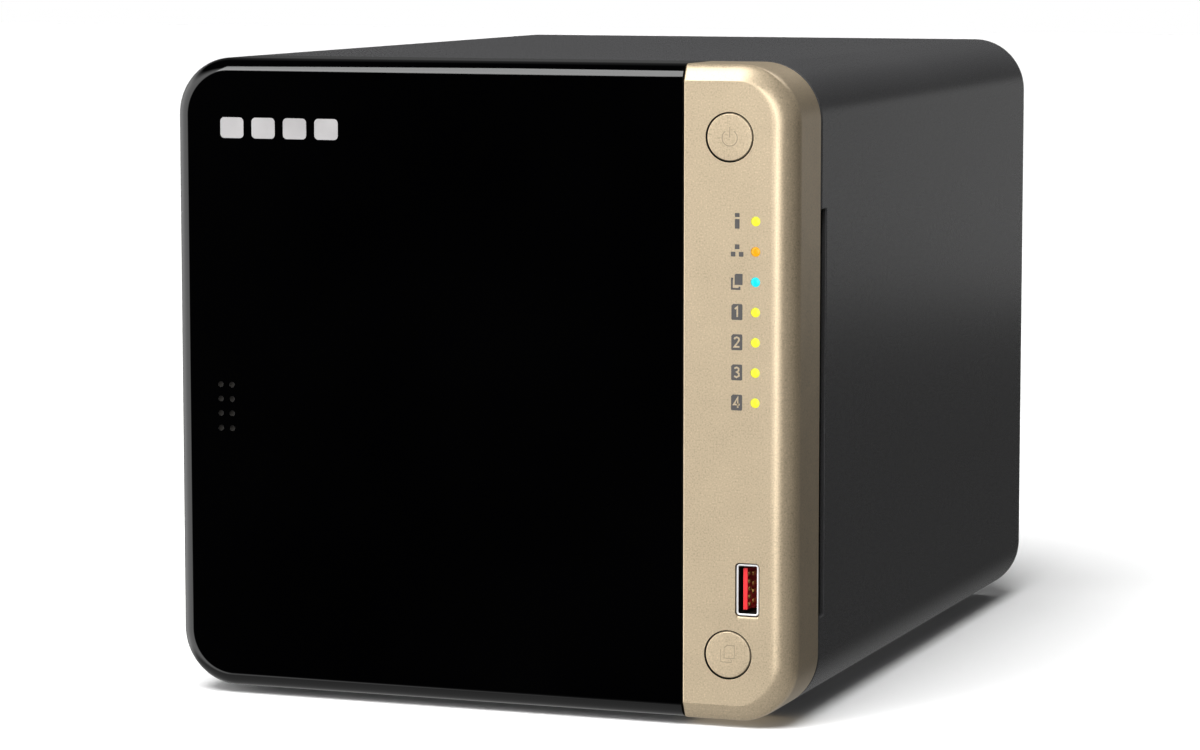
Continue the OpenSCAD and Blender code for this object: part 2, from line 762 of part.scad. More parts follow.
module fan_frame() {
    r = 6;
    h = fan_w / 2;
    color([0.06, 0.06, 0.065]) translate([fan_x, 0, fan_z]) difference() {
        union() {
            difference() {
                along_y(fan_d, fan_d + fan_t)
                    polygon(concat(quarter(h - r, h - r, r, r, 0), quarter(r - h, h - r, r, r, 90),
                                   quarter(r - h, r - h, r, r, 180),
                                   quarter(h - r, r - h, r, r, 270)));
                rod_y(0, 0, fan_d - 1, fan_d + fan_t + 1, fan_bore_r);
            }
            // motor plate and its four struts, on the outer side
            rod_y(0, 0, fan_d + fan_t - 3, fan_d + fan_t, hub_r);
            for (a = [10:90:280]) rotate([0, a, 0])
                box(hub_r - 1, fan_bore_r + 1, fan_d + fan_t - 3, fan_d + fan_t, -2, 2);
            // bearing tube
            rod_y(0, 0, fan_d + 9, fan_d + fan_t - 2.9, 4);
        }
        rod_y(0, 0, fan_d + 8, fan_d + fan_t - 1.5, shaft_r + 0.03);
        for (x = [-fan_hole, fan_hole]) for (z = [-fan_hole, fan_hole])
            rod_y(x, z, fan_d - 1, fan_d + fan_t + 1, 2.15);
    }
}

// Hub, shaft and blades, which turn in the frame's bearing tube
module fan_rotor() {
    blade_r = fan_bore_r - 1.2;
    hub_end_d = fan_d + fan_t - 4;
    color([0.09, 0.09, 0.10]) translate([fan_x, 0, fan_z]) {
        difference() {
            rod_y(0, 0, fan_d + 1, hub_end_d, hub_r);
            rod_y(0, 0, fan_d + 3, hub_end_d + 1, hub_r - 2);
        }
        rod_y(0, 0, fan_d + 2.9, fan_d + fan_t - 2, shaft_r);
        intersection() {
            union() for (b = [0:blades - 1]) rotate([0, b * 360 / blades, 0])
                translate([0, fd(fan_d + 11), 0]) rotate([38, 0, 0])
                    translate([hub_r - 1, -13, -0.8]) cube([blade_r, 26, 1.6]);
            difference() {
                rod_y(0, 0, fan_d + 2, hub_end_d, blade_r);
                rod_y(0, 0, fan_d + 1, fan_d + fan_t, hub_r - 1);
            }
        }
    }
}

module fan_screws() {
    color([0.12, 0.12, 0.12])
        for (x = [-fan_hole, fan_hole]) for (z = [-fan_hole, fan_hole])
            screw_y(fan_x + x, fan_z + z, panel_d + screw_head_t, 3.4, 2.05, 8);
}

// ---- Mainboard ----

hdmi_z = 126;                       // heights of the ports' lower ends
lan_z = 100;
rear_usb_z = 76;
jack_z = 36;                        // height of the power inlet's middle
// Depth in X and height of each port, as seen from the rear
hdmi_size = [5.6, 15];
lan_size = [13.6, 16];
rear_usb_size = [15.6, usb_w];
jack_size = [11, 10];
ports = [[hdmi_z, hdmi_size], [lan_z, lan_size], [rear_usb_z, rear_usb_size],
         [jack_z - jack_size[1] / 2, jack_size]];
jack_x = parts_x + 5.8;
reset_x = parts_x + 5.5;
reset_z = 60;
spacer_spots = [[64, 27], [64, 130], [168, 27], [168, 130]];

module mainboard() {
    color([0.05, 0.25, 0.14]) difference() {
        box(board_x, parts_x, 58, panel_d - plate_t - 0.3, 20, 152);
        for (s = spacer_spots) rod_x(board_x - 1, parts_x + 1, s[0], s[1], 1.7);
    }
}

// Brass spacers with their screws, between the cage and the mainboard
module board_spacers() {
    color([0.75, 0.62, 0.32]) for (s = spacer_spots) {
        rod_x(cage_right_x + plate_t, board_x, s[0], s[1], 2.8);
        rod_x(board_x - 0.1, parts_x + 0.1, s[0], s[1], 1.6);
        rod_x(parts_x, parts_x + 1.8, s[0], s[1], 2.8);
    }
}

module processor() {
    color([0.2, 0.2, 0.22]) box(parts_x, parts_x + 1.6, 118, 142, 94, 118);
}

// Finned aluminium heat sink on the processor
module heatsink() {
    fins = 11;
    color([0.75, 0.76, 0.78]) {
        box(parts_x + 1.6, parts_x + 4.6, 104, 156, 80, 132);
        for (n = [0:fins - 1])
            box(parts_x + 4.5, parts_x + 15, 104, 156, 80 + n * 5.08, 81.2 + n * 5.08);
    }
}

module memory_socket() {
    color([0.10, 0.10, 0.11]) difference() {
        box(parts_x, parts_x + 5.2, 94, 166, 34, 41);
        box(parts_x + 2.7, parts_x + 4.1, 96.2, 164, 38, 42);
    }
}

module memory_module() {
    color([0.06, 0.30, 0.16]) {
        box(parts_x + 2.8, parts_x + 4, 96.3, 163.9, 38, 68);
        for (n = [0:3])
            box(parts_x + 3.9, parts_x + 5, 100 + n * 16, 112 + n * 16, 46, 62);
    }
}

cable_w = 14;
cable_t = 0.5;

// Flat cable from the front board to the mainboard
module panel_cable() {
    z = 86;
    path = [[parts_x + 6, front_board_d + board_t], [parts_x + 6, 26], [parts_x + 4.5, 36],
            [parts_x + 4.5, 56], [parts_x + 3.2, 64], [parts_x + 3.2, 68]];
    last = len(path) - 1;
    color([0.85, 0.85, 0.83]) {
        translate([0, 0, z]) linear_extrude(cable_w)
            polygon(concat([for (p = path) [p[0], fd(p[1])]],
                           [for (i = [last:-1:0]) [path[i][0] + cable_t, fd(path[i][1])]]));
        // plug at the mainboard
        box(parts_x, parts_x + 5.5, 66, 71, z - 1, z + cable_w + 1);
        // plug at the front board
        box(parts_x + 4, parts_x + 8.6, front_board_d + board_t, front_board_d + board_t + 3,
            z - 1, z + cable_w + 1);
    }
}

// ---- Rear ports: each long side is along Z ----

// The outside of a port, from depth start_d to its rear face
module port_shell(z, size, start_d) {
    box(parts_x, parts_x + size[0], start_d, port_d, z, z + size[1]);
}

module hdmi_port() {
    x = parts_x;
    t = 0.5;                        // thickness of the shell
    color([0.78, 0.78, 0.8]) difference() {
        port_shell(hdmi_z, hdmi_size, port_d - 12);
        difference() {
            box(x + t, x + hdmi_size[0] - t, port_d - 9, port_d + over,
                hdmi_z + t, hdmi_z + hdmi_size[1] - t);
            // tongue
            box(x + 2.2, x + 3.4, port_d - 10, port_d - 1, hdmi_z + 2.4, hdmi_z + 12.6);
        }
    }
}

lan_deep = 14;                      // depth of the network socket

// Network socket with its latch notch
module network_port() {
    x = parts_x;
    color([0.78, 0.78, 0.8]) difference() {
        port_shell(lan_z, lan_size, port_d - 21.4);
        box(x + 1.6, x + 9.8, port_d - lan_deep, port_d + over, lan_z + 2.1, lan_z + 13.9);
        box(x + 9.7, x + 11.6, port_d - lan_deep, port_d + over, lan_z + 5, lan_z + 11);
    }
}

// Two USB-A sockets in one shell
module rear_usb_ports() {
    socket_t = usb_t - 2 * metal_t;
    low_z = rear_usb_z + metal_t;
    high_z = rear_usb_z + usb_w - metal_t;
    color([0.78, 0.78, 0.8]) difference() {
        port_shell(rear_usb_z, rear_usb_size, port_d - 18);
        for (x = [parts_x + 1, parts_x + 9.2]) difference() {
            box(x, x + socket_t, port_d - 10, port_d + over, low_z, high_z);
            // tongue
            box(x, x + 2, port_d - 11, port_d - 1, low_z + 0.5, high_z - 0.5);
        }
    }
}

jack_bore_r = 3.1;
jack_pin_r = 1;

// Power inlet with its centre pin
module dc_jack() {
    color([0.07, 0.07, 0.07]) {
        difference() {
            port_shell(jack_z - jack_size[1] / 2, jack_size, port_d - 14);
            rod_y(jack_x, jack_z, port_d - 10, port_d + over, jack_bore_r);
        }
        rod_y(jack_x, jack_z, port_d - 10.1, port_d - 0.6, jack_pin_r);
    }
}

reset_travel = 0.6;
reset_switch_d = 207;

module reset_button() {
    color([0.5, 0.5, 0.52]) union() {
        rod_y(reset_x, reset_z, reset_switch_d + 0.8, panel_d - 0.6, 1.25);
        rod_y(reset_x, reset_z, reset_switch_d + 2.6, reset_switch_d + 4, 2.2);
    }
}

module reset_switch() {
    color([0.12, 0.12, 0.13])
        box(parts_x, reset_x + 3.2, reset_switch_d - 6, reset_switch_d, reset_z - 3.2, reset_z + 3.2);
}

case_cover();
base_plate();
rubber_feet();
case_screws();
rear_panel();
front_cover();
cover_magnets();
keeper_plates();
front_frame();
control_panel();
power_button();
copy_button();
led_status();
led_network();
led_copy();
led_bays();
front_usb_shell();
front_usb_tongue();
front_board();
front_switches();
front_board_screws();
cage_side_walls();
cage_decks();
bay_rails_lower();
bay_rails_upper();
backplane();
sata_sockets();
backplane_slot();
fan_frame();
fan_rotor();
fan_screws();
mainboard();
board_spacers();
processor();
heatsink();
memory_socket();
memory_module();
panel_cable();
hdmi_port();
network_port();
rear_usb_ports();
dc_jack();
reset_button();
reset_switch();
for (n = [1:bays]) tray(n);
for (n = [1:bays]) tray_lever(n);
for (n = [1:bays]) tray_pin(n);
for (n = [1:bays]) tray_latch(n);
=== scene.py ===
"""Looks of a four-bay network storage enclosure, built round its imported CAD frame."""
import math

import bmesh
import bpy
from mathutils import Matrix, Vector


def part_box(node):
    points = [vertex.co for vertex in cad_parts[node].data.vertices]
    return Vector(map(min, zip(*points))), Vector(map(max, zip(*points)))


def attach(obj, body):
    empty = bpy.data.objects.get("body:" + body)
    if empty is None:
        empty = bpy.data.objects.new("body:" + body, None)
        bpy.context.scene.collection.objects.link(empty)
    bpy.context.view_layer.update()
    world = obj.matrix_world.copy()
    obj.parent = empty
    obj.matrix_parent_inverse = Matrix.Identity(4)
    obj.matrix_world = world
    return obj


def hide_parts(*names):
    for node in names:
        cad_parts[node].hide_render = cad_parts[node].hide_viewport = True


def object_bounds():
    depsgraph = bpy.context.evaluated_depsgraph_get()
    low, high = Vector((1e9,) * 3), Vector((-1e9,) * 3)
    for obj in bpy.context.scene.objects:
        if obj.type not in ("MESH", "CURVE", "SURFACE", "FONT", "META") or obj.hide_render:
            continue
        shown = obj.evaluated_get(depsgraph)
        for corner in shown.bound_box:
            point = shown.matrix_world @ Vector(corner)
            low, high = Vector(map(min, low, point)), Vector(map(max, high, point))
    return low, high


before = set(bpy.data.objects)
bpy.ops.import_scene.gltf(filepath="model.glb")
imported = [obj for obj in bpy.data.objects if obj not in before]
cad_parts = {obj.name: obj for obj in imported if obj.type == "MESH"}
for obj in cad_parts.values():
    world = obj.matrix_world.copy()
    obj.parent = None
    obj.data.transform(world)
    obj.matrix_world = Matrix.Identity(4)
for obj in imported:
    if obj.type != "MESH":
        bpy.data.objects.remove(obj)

cad_low, cad_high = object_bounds()

# ---- Units and places: x and z in millimetres, d is the depth in millimetres from the front plane ----

MM = 0.001
FRONT_Y = cad_low.y


def limits(node):
    """A CAD node's box as x0, x1, d0, d1, z0, z1, in millimetres."""
    low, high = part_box(node)
    return (low.x / MM, high.x / MM, (low.y - FRONT_Y) / MM, (high.y - FRONT_Y) / MM,
            low.z / MM, high.z / MM)


def at(x, d, z):
    """The point of the scene that lies at x, depth d and height z."""
    return (x * MM, FRONT_Y + d * MM, z * MM)


LEFT, COVER_RIGHT, _, FRONT_DEPTH, BOTTOM, TOP = limits("front_cover")
COLUMN_LEFT, RIGHT = limits("control_panel")[:2]
SLEEVE_START, REAR = limits("case_cover")[2:4]
CORNER_R = 15
WALL = 2.2
SHELL_T = 1.5

# ---- Closed solids, each as a list of points and a list of faces ----


def loft(rings):
    """A solid through rings of equal length, with a flat cap on the first and the last."""
    count = len(rings[0])
    points = [p for ring in rings for p in ring]
    faces = [tuple(range(count)), tuple(range(len(points) - count, len(points)))]
    for r in range(len(rings) - 1):
        for i in range(count):
            j = (i + 1) % count
            faces.append((r * count + i, r * count + j, (r + 1) * count + j, (r + 1) * count + i))
    return points, faces


def prism(outline, d0, d1):
    """An x-z outline pushed from depth d0 to depth d1."""
    return loft([[at(x, d, z) for x, z in outline] for d in (d0, d1)])


def block(x0, x1, d0, d1, z0, z1):
    """A box between these limits."""
    return prism([(x0, z0), (x1, z0), (x1, z1), (x0, z1)], d0, d1)


def lathe(x, z, profile, steps):
    """A profile of (radius, depth) turned about the Y direction through x, z. Its ends are closed."""
    rings = [[at(x + r * math.cos(a), d, z + r * math.sin(a))
              for a in (2 * math.pi * i / steps for i in range(steps))]
             for r, d in profile if r > 0]
    points, faces = loft(rings)
    caps = []
    for end, (r, d) in ((0, profile[0]), (1, profile[-1])):
        if r > 0:
            caps.append(faces[end])
            continue
        points.append(at(x, d, z))
        first = 0 if end == 0 else len(rings) * steps - steps
        caps += [(first + i, first + (i + 1) % steps, len(points) - 1) for i in range(steps)]
    return points, faces[2:] + caps


def soft_edge(r, d, edge_r):
    """The round edge of a lathe's profile, between a flat front at depth d and a side at r."""
    return [(r - edge_r + edge_r * math.sin(a), d + edge_r - edge_r * math.cos(a))
            for a in (math.radians(15 * i) for i in range(1, 7))]


def arc(x, z, rx, rz, start, sweep, steps):
    """Points along an ellipse's arc; the angles are in degrees."""
    angles = [math.radians(start + sweep * i / steps) for i in range(steps + 1)]
    return [(x + rx * math.cos(a), z + rz * math.sin(a)) for a in angles]


def quarter_turn(steps):
    """Angles from 0 to 90 degrees, in radians."""
    return [math.radians(90 * i / steps) for i in range(steps + 1)]


def rounded(x0, x1, z0, z1, r, steps=6):
    """A rectangle's outline with round corners."""
    return (arc(x1 - r, z1 - r, r, r, 0, 90, steps) + arc(x0 + r, z1 - r, r, r, 90, 90, steps)
            + arc(x0 + r, z0 + r, r, r, 180, 90, steps) + arc(x1 - r, z0 + r, r, r, 270, 90, steps))


MITRE_LIMIT = 0.4                   # keeps the outer corner of a sharp bend short


def stroke(path, width, d0, d1):
    """A line of even width along an x-z path, from depth d0 to depth d1, as one solid."""
    sides = ([], [])
    for i, p in enumerate(path):
        before = Vector(p) - Vector(path[max(i - 1, 0)])
        after = Vector(path[min(i + 1, len(path) - 1)]) - Vector(p)
        way = (before.normalized() + after.normalized()).normalized()
        turn = abs(way.dot((after if i == 0 else before).normalized()))
        reach = width / 2 / max(turn, MITRE_LIMIT)
        sides[0].append((p[0] - way.y * reach, p[1] + way.x * reach))
        sides[1].append((p[0] + way.y * reach, p[1] - way.x * reach))
    return prism(sides[0] + sides[1][::-1], d0, d1)


def lengthened(a, b, more):
    """The line from a to b, longer by more at both ends."""
    a, b = Vector(a), Vector(b)
    way = (b - a).normalized() * more
    return [tuple(a - way), tuple(b + way)]


# ---- Objects ----

SHARP_ANGLE = 38                    # edges sharper than this stay sharp in the shading


def add_object(name, data):
    """A new object of the scene that shows this data."""
    obj = bpy.data.objects.new(name, data)
    bpy.context.scene.collection.objects.link(obj)
    return obj


def solid_object(name, solids):
    """A new object that holds these closed solids."""
    bm = bmesh.new()
    for points, faces in solids:
        made = [bm.verts.new(p) for p in points]
        for face in faces:
            bm.faces.new([made[i] for i in face])
    bmesh.ops.recalc_face_normals(bm, faces=bm.faces)
    mesh = bpy.data.meshes.new(name)
    bm.to_mesh(mesh)
    bm.free()
    return add_object(name, mesh)


def settle(obj):
    """Swaps an object's mesh for what its modifiers make of it."""
    shown = obj.evaluated_get(bpy.context.evaluated_depsgraph_get())
    mesh = bpy.data.meshes.new_from_object(shown)
    obj.modifiers.clear()
    obj.data = mesh


def carve(obj, solids, operation="DIFFERENCE"):
    """Cuts solids out of an object, or joins them to it."""
    tool = solid_object("tool", solids)
    modifier = obj.modifiers.new("carve", "BOOLEAN")
    modifier.operation = operation
    modifier.solver = "EXACT"
    modifier.object = tool
    settle(obj)
    bpy.data.objects.remove(tool)


def round_edges(obj, width, segments=2, angle=40, clamp=True):
    """Rounds the edges that are sharper than angle degrees by width millimetres."""
    modifier = obj.modifiers.new("round", "BEVEL")
    modifier.width = width * MM
    modifier.segments = segments
    modifier.limit_method = "ANGLE"
    modifier.angle_limit = math.radians(angle)
    modifier.use_clamp_overlap = clamp
    modifier.miter_outer = "MITER_ARC"


def smooth(obj):
    """Smooth shading that keeps flat faces flat and sharp edges sharp."""
    settle(obj)
    obj.data.shade_smooth()
    obj.data.set_sharp_from_angle(angle=math.radians(SHARP_ANGLE))
    obj.modifiers.new("normals", "WEIGHTED_NORMAL").keep_sharp = True


def paint_faces(obj, material, chosen):
    """Gives one more material to the faces whose middle, as x, d, z in millimetres, is chosen."""
    obj.data.materials.append(material)
    for face in obj.data.polygons:
        x, y, z = face.center
        if chosen(x / MM, (y - FRONT_Y) / MM, z / MM):
            face.material_index = len(obj.data.materials) - 1


def finish_piece(obj, material, body, replaced=()):
    """Gives a piece its material and its body, and hides the CAD nodes that it stands for."""
    obj.data.materials.clear()
    obj.data.materials.append(material)
    smooth(obj)
    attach(obj, body)
    if replaced:
        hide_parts(*replaced)
    return obj


def piece(name, solids, material, body, replaced=(), edge=0.0):
    """A visible piece made of solids, with its edges rounded by edge millimetres."""
    obj = solid_object(name, solids)
    if edge:
        round_edges(obj, edge)
    return finish_piece(obj, material, body, replaced)


# ---- Materials ----


def add_node(tree, kind, links=(), **settings):
    """A new shader node. The links fill its inputs with values or with the outputs of others."""
    made = tree.nodes.new("ShaderNode" + kind)
    for key, value in settings.items():
        setattr(made, key, value)
    for socket, value in links:
        if isinstance(value, bpy.types.NodeSocket):
            tree.links.new(value, made.inputs[socket])
        else:
            made.inputs[socket].default_value = value
    return made


class Finish:
    """A material whose Principled shader is fed by short chains of nodes."""

    def __init__(self, name, **sockets):
        self.material = bpy.data.materials.new(name)
        self.material.use_nodes = True
        self.tree = self.material.node_tree
        self.shader = self.tree.nodes["Principled BSDF"]
        for socket, value in sockets.items():
            self.shader.inputs[socket.replace("_", " ")].default_value = value
        self.place = self.tree.nodes.new("ShaderNodeTexCoord").outputs["Object"]

    def node(self, kind, links, **settings):
        """A node of this material."""
        return add_node(self.tree, kind, links, **settings)

    def stretched(self, scale):
        """The place, scaled unevenly so that a pattern on it becomes a grain."""
        return self.node("Mapping", [("Vector", self.place), ("Scale", scale)]).outputs[0]

    def noise(self, size_mm, detail=2.0, place=None):
        """Noise whose features are about size_mm across."""
        return self.node("TexNoise", [("Vector", place or self.place), ("Scale", 1 / (size_mm * MM)),
                                      ("Detail", detail)]).outputs[0]

    def cells(self, size_mm, output):
        """Cells about size_mm across: a colour for each, or the distance from its middle."""
        return self.node("TexVoronoi", [("Vector", self.place),
                                        ("Scale", 1 / (size_mm * MM))]).outputs[output]

    def spread(self, value, low, high, start=0.3, end=0.7):
        """Maps a value from start..end to low..high."""
        return self.node("MapRange", [("Value", value), ("From Min", start), ("From Max", end),
                                      ("To Min", low), ("To Max", high)]).outputs[0]

    def ramp(self, value, stops):
        """A colour ramp through (position, colour) stops."""
        made = self.node("ValToRGB", [(0, value)])
        elements = made.color_ramp.elements
        while len(elements) < len(stops):
            elements.new(0.5)
        for element, (position, colour) in zip(elements, stops):
            element.position = position
            element.color = (*colour, 1)
        return made.outputs[0]

    def mix(self, factor, a, b, blend="MIX"):
        """Two colours or values, blended."""
        return self.node("MixRGB", [(0, factor), (1, a), (2, b)], blend_type=blend).outputs[0]

    def feed(self, socket, value):
        """Links a node's output to a socket of the shader."""
        self.tree.links.new(value, self.shader.inputs[socket])

    def bump(self, height, strength, depth_mm):
        """Makes the surface look uneven by up to depth_mm."""
        made = self.node("Bump", [("Height", height), ("Strength", strength),
                                  ("Distance", depth_mm * MM)])
        self.feed("Normal", made.outputs[0])


def shade(colour, factor):
    """A colour made lighter or darker."""
    return tuple(min(1.0, c * factor) for c in colour)


def moulded(name, colour, rough, grain_mm=0.35, grain=0.25, tone=0.12, **sockets):
    """Moulded plastic with a fine spark-eroded grain and slightly uneven gloss."""
    f = Finish(name, IOR=1.47, **sockets)
    wide = f.noise(14, 3)
    fine = f.noise(grain_mm, 3)
    f.feed("Base Color", f.ramp(wide, [(0.3, shade(colour, 1 - tone)), (0.7, shade(colour, 1 + tone))]))
    f.feed("Roughness", f.spread(wide, rough - 0.05, rough + 0.06))
    f.bump(fine, grain, 0.03)
    return f.material


def painted(name, colour, rough):
    """Powder coat: a low orange peel over a fine speckle."""
    f = Finish(name, IOR=1.5)
    wide = f.noise(60, 2)
    speckle = f.noise(0.3, 2)
    tone = f.mix(0.6, wide, speckle)
    f.feed("Base Color", f.ramp(tone, [(0.36, shade(colour, 0.92)), (0.64, shade(colour, 1.08))]))
    f.feed("Roughness", f.spread(speckle, rough - 0.03, rough + 0.03))
    f.bump(f.noise(0.5, 2), 0.2, 0.01)
    return f.material


def fleck_gold(name, colour):
    """Champagne paint with fine metal flakes that catch the light."""
    f = Finish(name, Metallic=0.65, IOR=1.5)
    fine = f.noise(0.42, 2)
    wide = f.noise(9, 2)
    tone = f.mix(0.2, fine, wide)
    f.feed("Base Color", f.ramp(tone, [(0.30, shade(colour, 0.74)), (0.46, shade(colour, 0.97)),
                                       (0.56, colour), (0.70, shade(colour, 1.18))]))
    f.feed("Roughness", f.spread(fine, 0.31, 0.40))
    f.bump(fine, 0.20, 0.014)
    return f.material


def gloss_black():
    """Polished smoked plastic with the faintest unevenness."""
    f = Finish("gloss_black", IOR=1.5)
    wide = f.noise(60, 2)
    f.feed("Base Color", f.ramp(wide, [(0.3, (0.0003, 0.0003, 0.0004)),
                                       (0.7, (0.0006, 0.0006, 0.0007))]))
    f.feed("Roughness", f.spread(f.noise(20, 3), 0.035, 0.07))
    return f.material


def metal(name, colour, rough, grain, size_mm, tone=0.1, metallic=1.0):
    """Bare or plated metal; an uneven grain gives it a direction."""
    f = Finish(name, Metallic=metallic)
    lines = f.noise(size_mm, 4, f.stretched(grain))
    f.feed("Base Color", f.ramp(lines, [(0.3, shade(colour, 1 - tone)), (0.7, shade(colour, 1 + tone))]))
    f.feed("Roughness", f.spread(lines, rough - 0.07, rough + 0.08))
    f.bump(lines, 0.12, 0.02)
    return f.material


def galvanised(name, colour):
    """Zinc-coated sheet with soft spangles."""
    f = Finish(name, Metallic=0.9)
    spangle = f.cells(7, "Color")
    cloud = f.noise(1.2, 3)
    tone = f.mix(0.45, spangle, cloud)
    f.feed("Base Color", f.ramp(tone, [(0.2, shade(colour, 0.8)), (0.8, shade(colour, 1.2))]))
    f.feed("Roughness", f.spread(spangle, 0.32, 0.5, 0.0, 1.0))
    return f.material


def circuit_board(name, colour):
    """Solder mask over thin tracks and planes."""
    f = Finish(name, IOR=1.5, Roughness=0.32)
    bricks = f.node("TexBrick", [("Vector", f.stretched((1, 1, 1.6))), ("Scale", 1 / (2.4 * MM)),
                                 ("Mortar Size", 0.06), ("Color1", (0, 0, 0, 1)),
                                 ("Color2", (0.1, 0.1, 0.1, 1)), ("Mortar", (1, 1, 1, 1))],
                    offset=0.37, squash=0.6, squash_frequency=3)
    planes = f.ramp(f.cells(5, "Distance"), [(0.35, (1, 1, 1)), (0.42, (0, 0, 0))])
    tracks = f.mix(1.0, bricks.outputs[0], planes, "MULTIPLY")
    f.feed("Base Color", f.ramp(tracks, [(0.1, colour), (0.9, shade(colour, 2.6))]))
    f.bump(tracks, 0.3, 0.03)
    return f.material


def lit(name, colour):
    """A lit lens: its own light, a little uneven across its face."""
    f = Finish(name, IOR=1.45, Roughness=0.25, Emission_Strength=1.0)
    glow = f.noise(1.6, 1)
    f.feed("Base Color", f.ramp(glow, [(0.3, shade(colour, 0.04)), (0.7, shade(colour, 0.06))]))
    f.feed("Emission Color", f.ramp(glow, [(0.3, shade(colour, 0.93)), (0.7, colour)]))
    return f.material


def rubber():
    """Matt rubber with a little dust on it."""
    f = Finish("rubber", IOR=1.45)
    dust = f.noise(3, 4)
    f.feed("Base Color", f.ramp(dust, [(0.35, (0.012, 0.012, 0.012)), (0.75, (0.028, 0.028, 0.027))]))
    f.feed("Roughness", f.spread(dust, 0.62, 0.8))
    f.bump(f.noise(0.5, 3), 0.35, 0.05)
    return f.material


GOLD = (0.625, 0.505, 0.345)
BY_SLOT = {
    "sleeve_steel": painted("sleeve_coat", (0.049, 0.049, 0.051), 0.27),
    "chassis_dark": painted("chassis_coat", (0.030, 0.030, 0.032), 0.46),
    "rubber_black": rubber(),
    "screw_black": metal("black_oxide", (0.045, 0.045, 0.047), 0.38, (1, 1, 1), 0.8),
    "cover_black": gloss_black(),
    "magnet": metal("nickel", (0.70, 0.69, 0.67), 0.16, (1, 1, 1), 2.0, 0.05),
    "plated_steel": metal("bright_plate", (0.80, 0.80, 0.82), 0.22, (1, 1, 12), 6.0, 0.05),
    "bezel_plastic": moulded("bezel", (0.016, 0.016, 0.017), 0.5),
    "column_gold": fleck_gold("gold_paint", GOLD),
    "button_gold": fleck_gold("button_paint", shade(GOLD, 1.03)),
    "lamp_yellow": lit("lamp_yellow", (0.98, 1.0, 0.045)),
    "lamp_amber": lit("lamp_amber", (1.0, 0.47, 0.002)),
    "lamp_cyan": lit("lamp_cyan", (0.005, 0.88, 1.0)),
    "red_plastic": moulded("red_insulator", (0.72, 0.030, 0.035), 0.34, 0.5, 0.1),
    "circuit_board": circuit_board("solder_mask", (0.006, 0.040, 0.022)),
    "connector_plastic": moulded("connector", (0.018, 0.018, 0.018), 0.42, 0.4),
    "screw_steel": metal("zinc", (0.62, 0.62, 0.63), 0.3, (1, 1, 1), 1.0),
    "cage_steel": galvanised("galvanised", (0.42, 0.43, 0.45)),
    "fan_plastic": moulded("fan_plastic", (0.017, 0.017, 0.018), 0.36, 0.6, 0.12),
    "brass": metal("brass", (0.72, 0.50, 0.20), 0.28, (1, 1, 1), 1.0),
    "chip_grey": moulded("chip", (0.05, 0.05, 0.052), 0.55, 0.2, 0.3),
    "aluminium": metal("aluminium", (0.74, 0.75, 0.77), 0.34, (60, 1, 60), 6.0),
    "memory_board": circuit_board("memory_mask", (0.008, 0.055, 0.03)),
    "cable_white": moulded("cable", (0.70, 0.70, 0.68), 0.5, 0.6, 0.1),
    "button_grey": moulded("reset_cap", (0.17, 0.17, 0.18), 0.4),
    "tray_plastic": moulded("tray", (0.020, 0.020, 0.021), 0.5, 0.4, 0.3),
    "lever_plastic": moulded("lever", (0.034, 0.034, 0.036), 0.4, 0.4, 0.2),
    "latch_plastic": moulded("latch", (0.085, 0.085, 0.09), 0.42, 0.4, 0.2),
}
# painted shade: a dull near-black for recesses and gaps where shade falls
SHADOW = moulded("painted_recess_shade", (0.008, 0.007, 0.006), 0.7, 0.4, 0.1, Specular_IOR_Level=0.15)
# painted shade: a darker gold for the floors and walls of engraved grooves
GROOVE_SHADE = moulded("painted_groove_shade", (0.36, 0.29, 0.20), 0.45, 0.3, 0.05)
PRINT = moulded("grey_print", (0.066, 0.063, 0.062), 0.55, 0.3, 0.05)
MARK = moulded("light_print", (0.36, 0.35, 0.352), 0.5, 0.4, 0.03)
CONTACT = metal("contact_gold", (0.80, 0.60, 0.16), 0.3, (1, 1, 1), 1.0, metallic=0.6)
RIM = moulded("socket_rim", (0.74, 0.74, 0.75), 0.25, 0.6, 0.05, 0.03)
INSULATOR_BLUE = moulded("blue_insulator", (0.02, 0.09, 0.42), 0.36, 0.5, 0.1)

# ---- Front cover ----

FACE_D = 0.02                       # depth of the front faces, behind the prints on them
INK_D = (0.006, 0.06)               # depths between which the prints lie
CUT = 1                             # how far a cutter reaches past what it cuts
COVER_FILLET = 4
INNER_FILLET = 1.8
COVER_STEPS = 12
RIM_D = 8.8                         # the right rim ends here, so that it clears the bezel
MAGNETS = [(-73, 156), (45, 156), (-73, 10.2), (45, 10.2)]
MAGNET_R, MAGNET_D = 3.05, 6.2
BOSS_R, BOSS_D = 4.2, 8.2
DIMPLE_R, DIMPLE_D = 1.25, 0.25
DIMPLES = [(x, z) for x in (-72.5, -69.3) for z in (82.3, 78.5, 74.7, 70.8)]


def cover_ring(inset, d, right=COVER_RIGHT):
    """Outline of the cover, moved in by inset, at depth d."""
    r = CORNER_R - inset
    x, low, high = LEFT + CORNER_R, BOTTOM + CORNER_R, TOP - CORNER_R
    outline = ([(right, TOP - inset)] + arc(x, high, r, r, 90, 90, 20)
               + arc(x, low, r, r, 180, 90, 20) + [(right, BOTTOM + inset)])
    return [at(px, d, pz) for px, pz in outline]


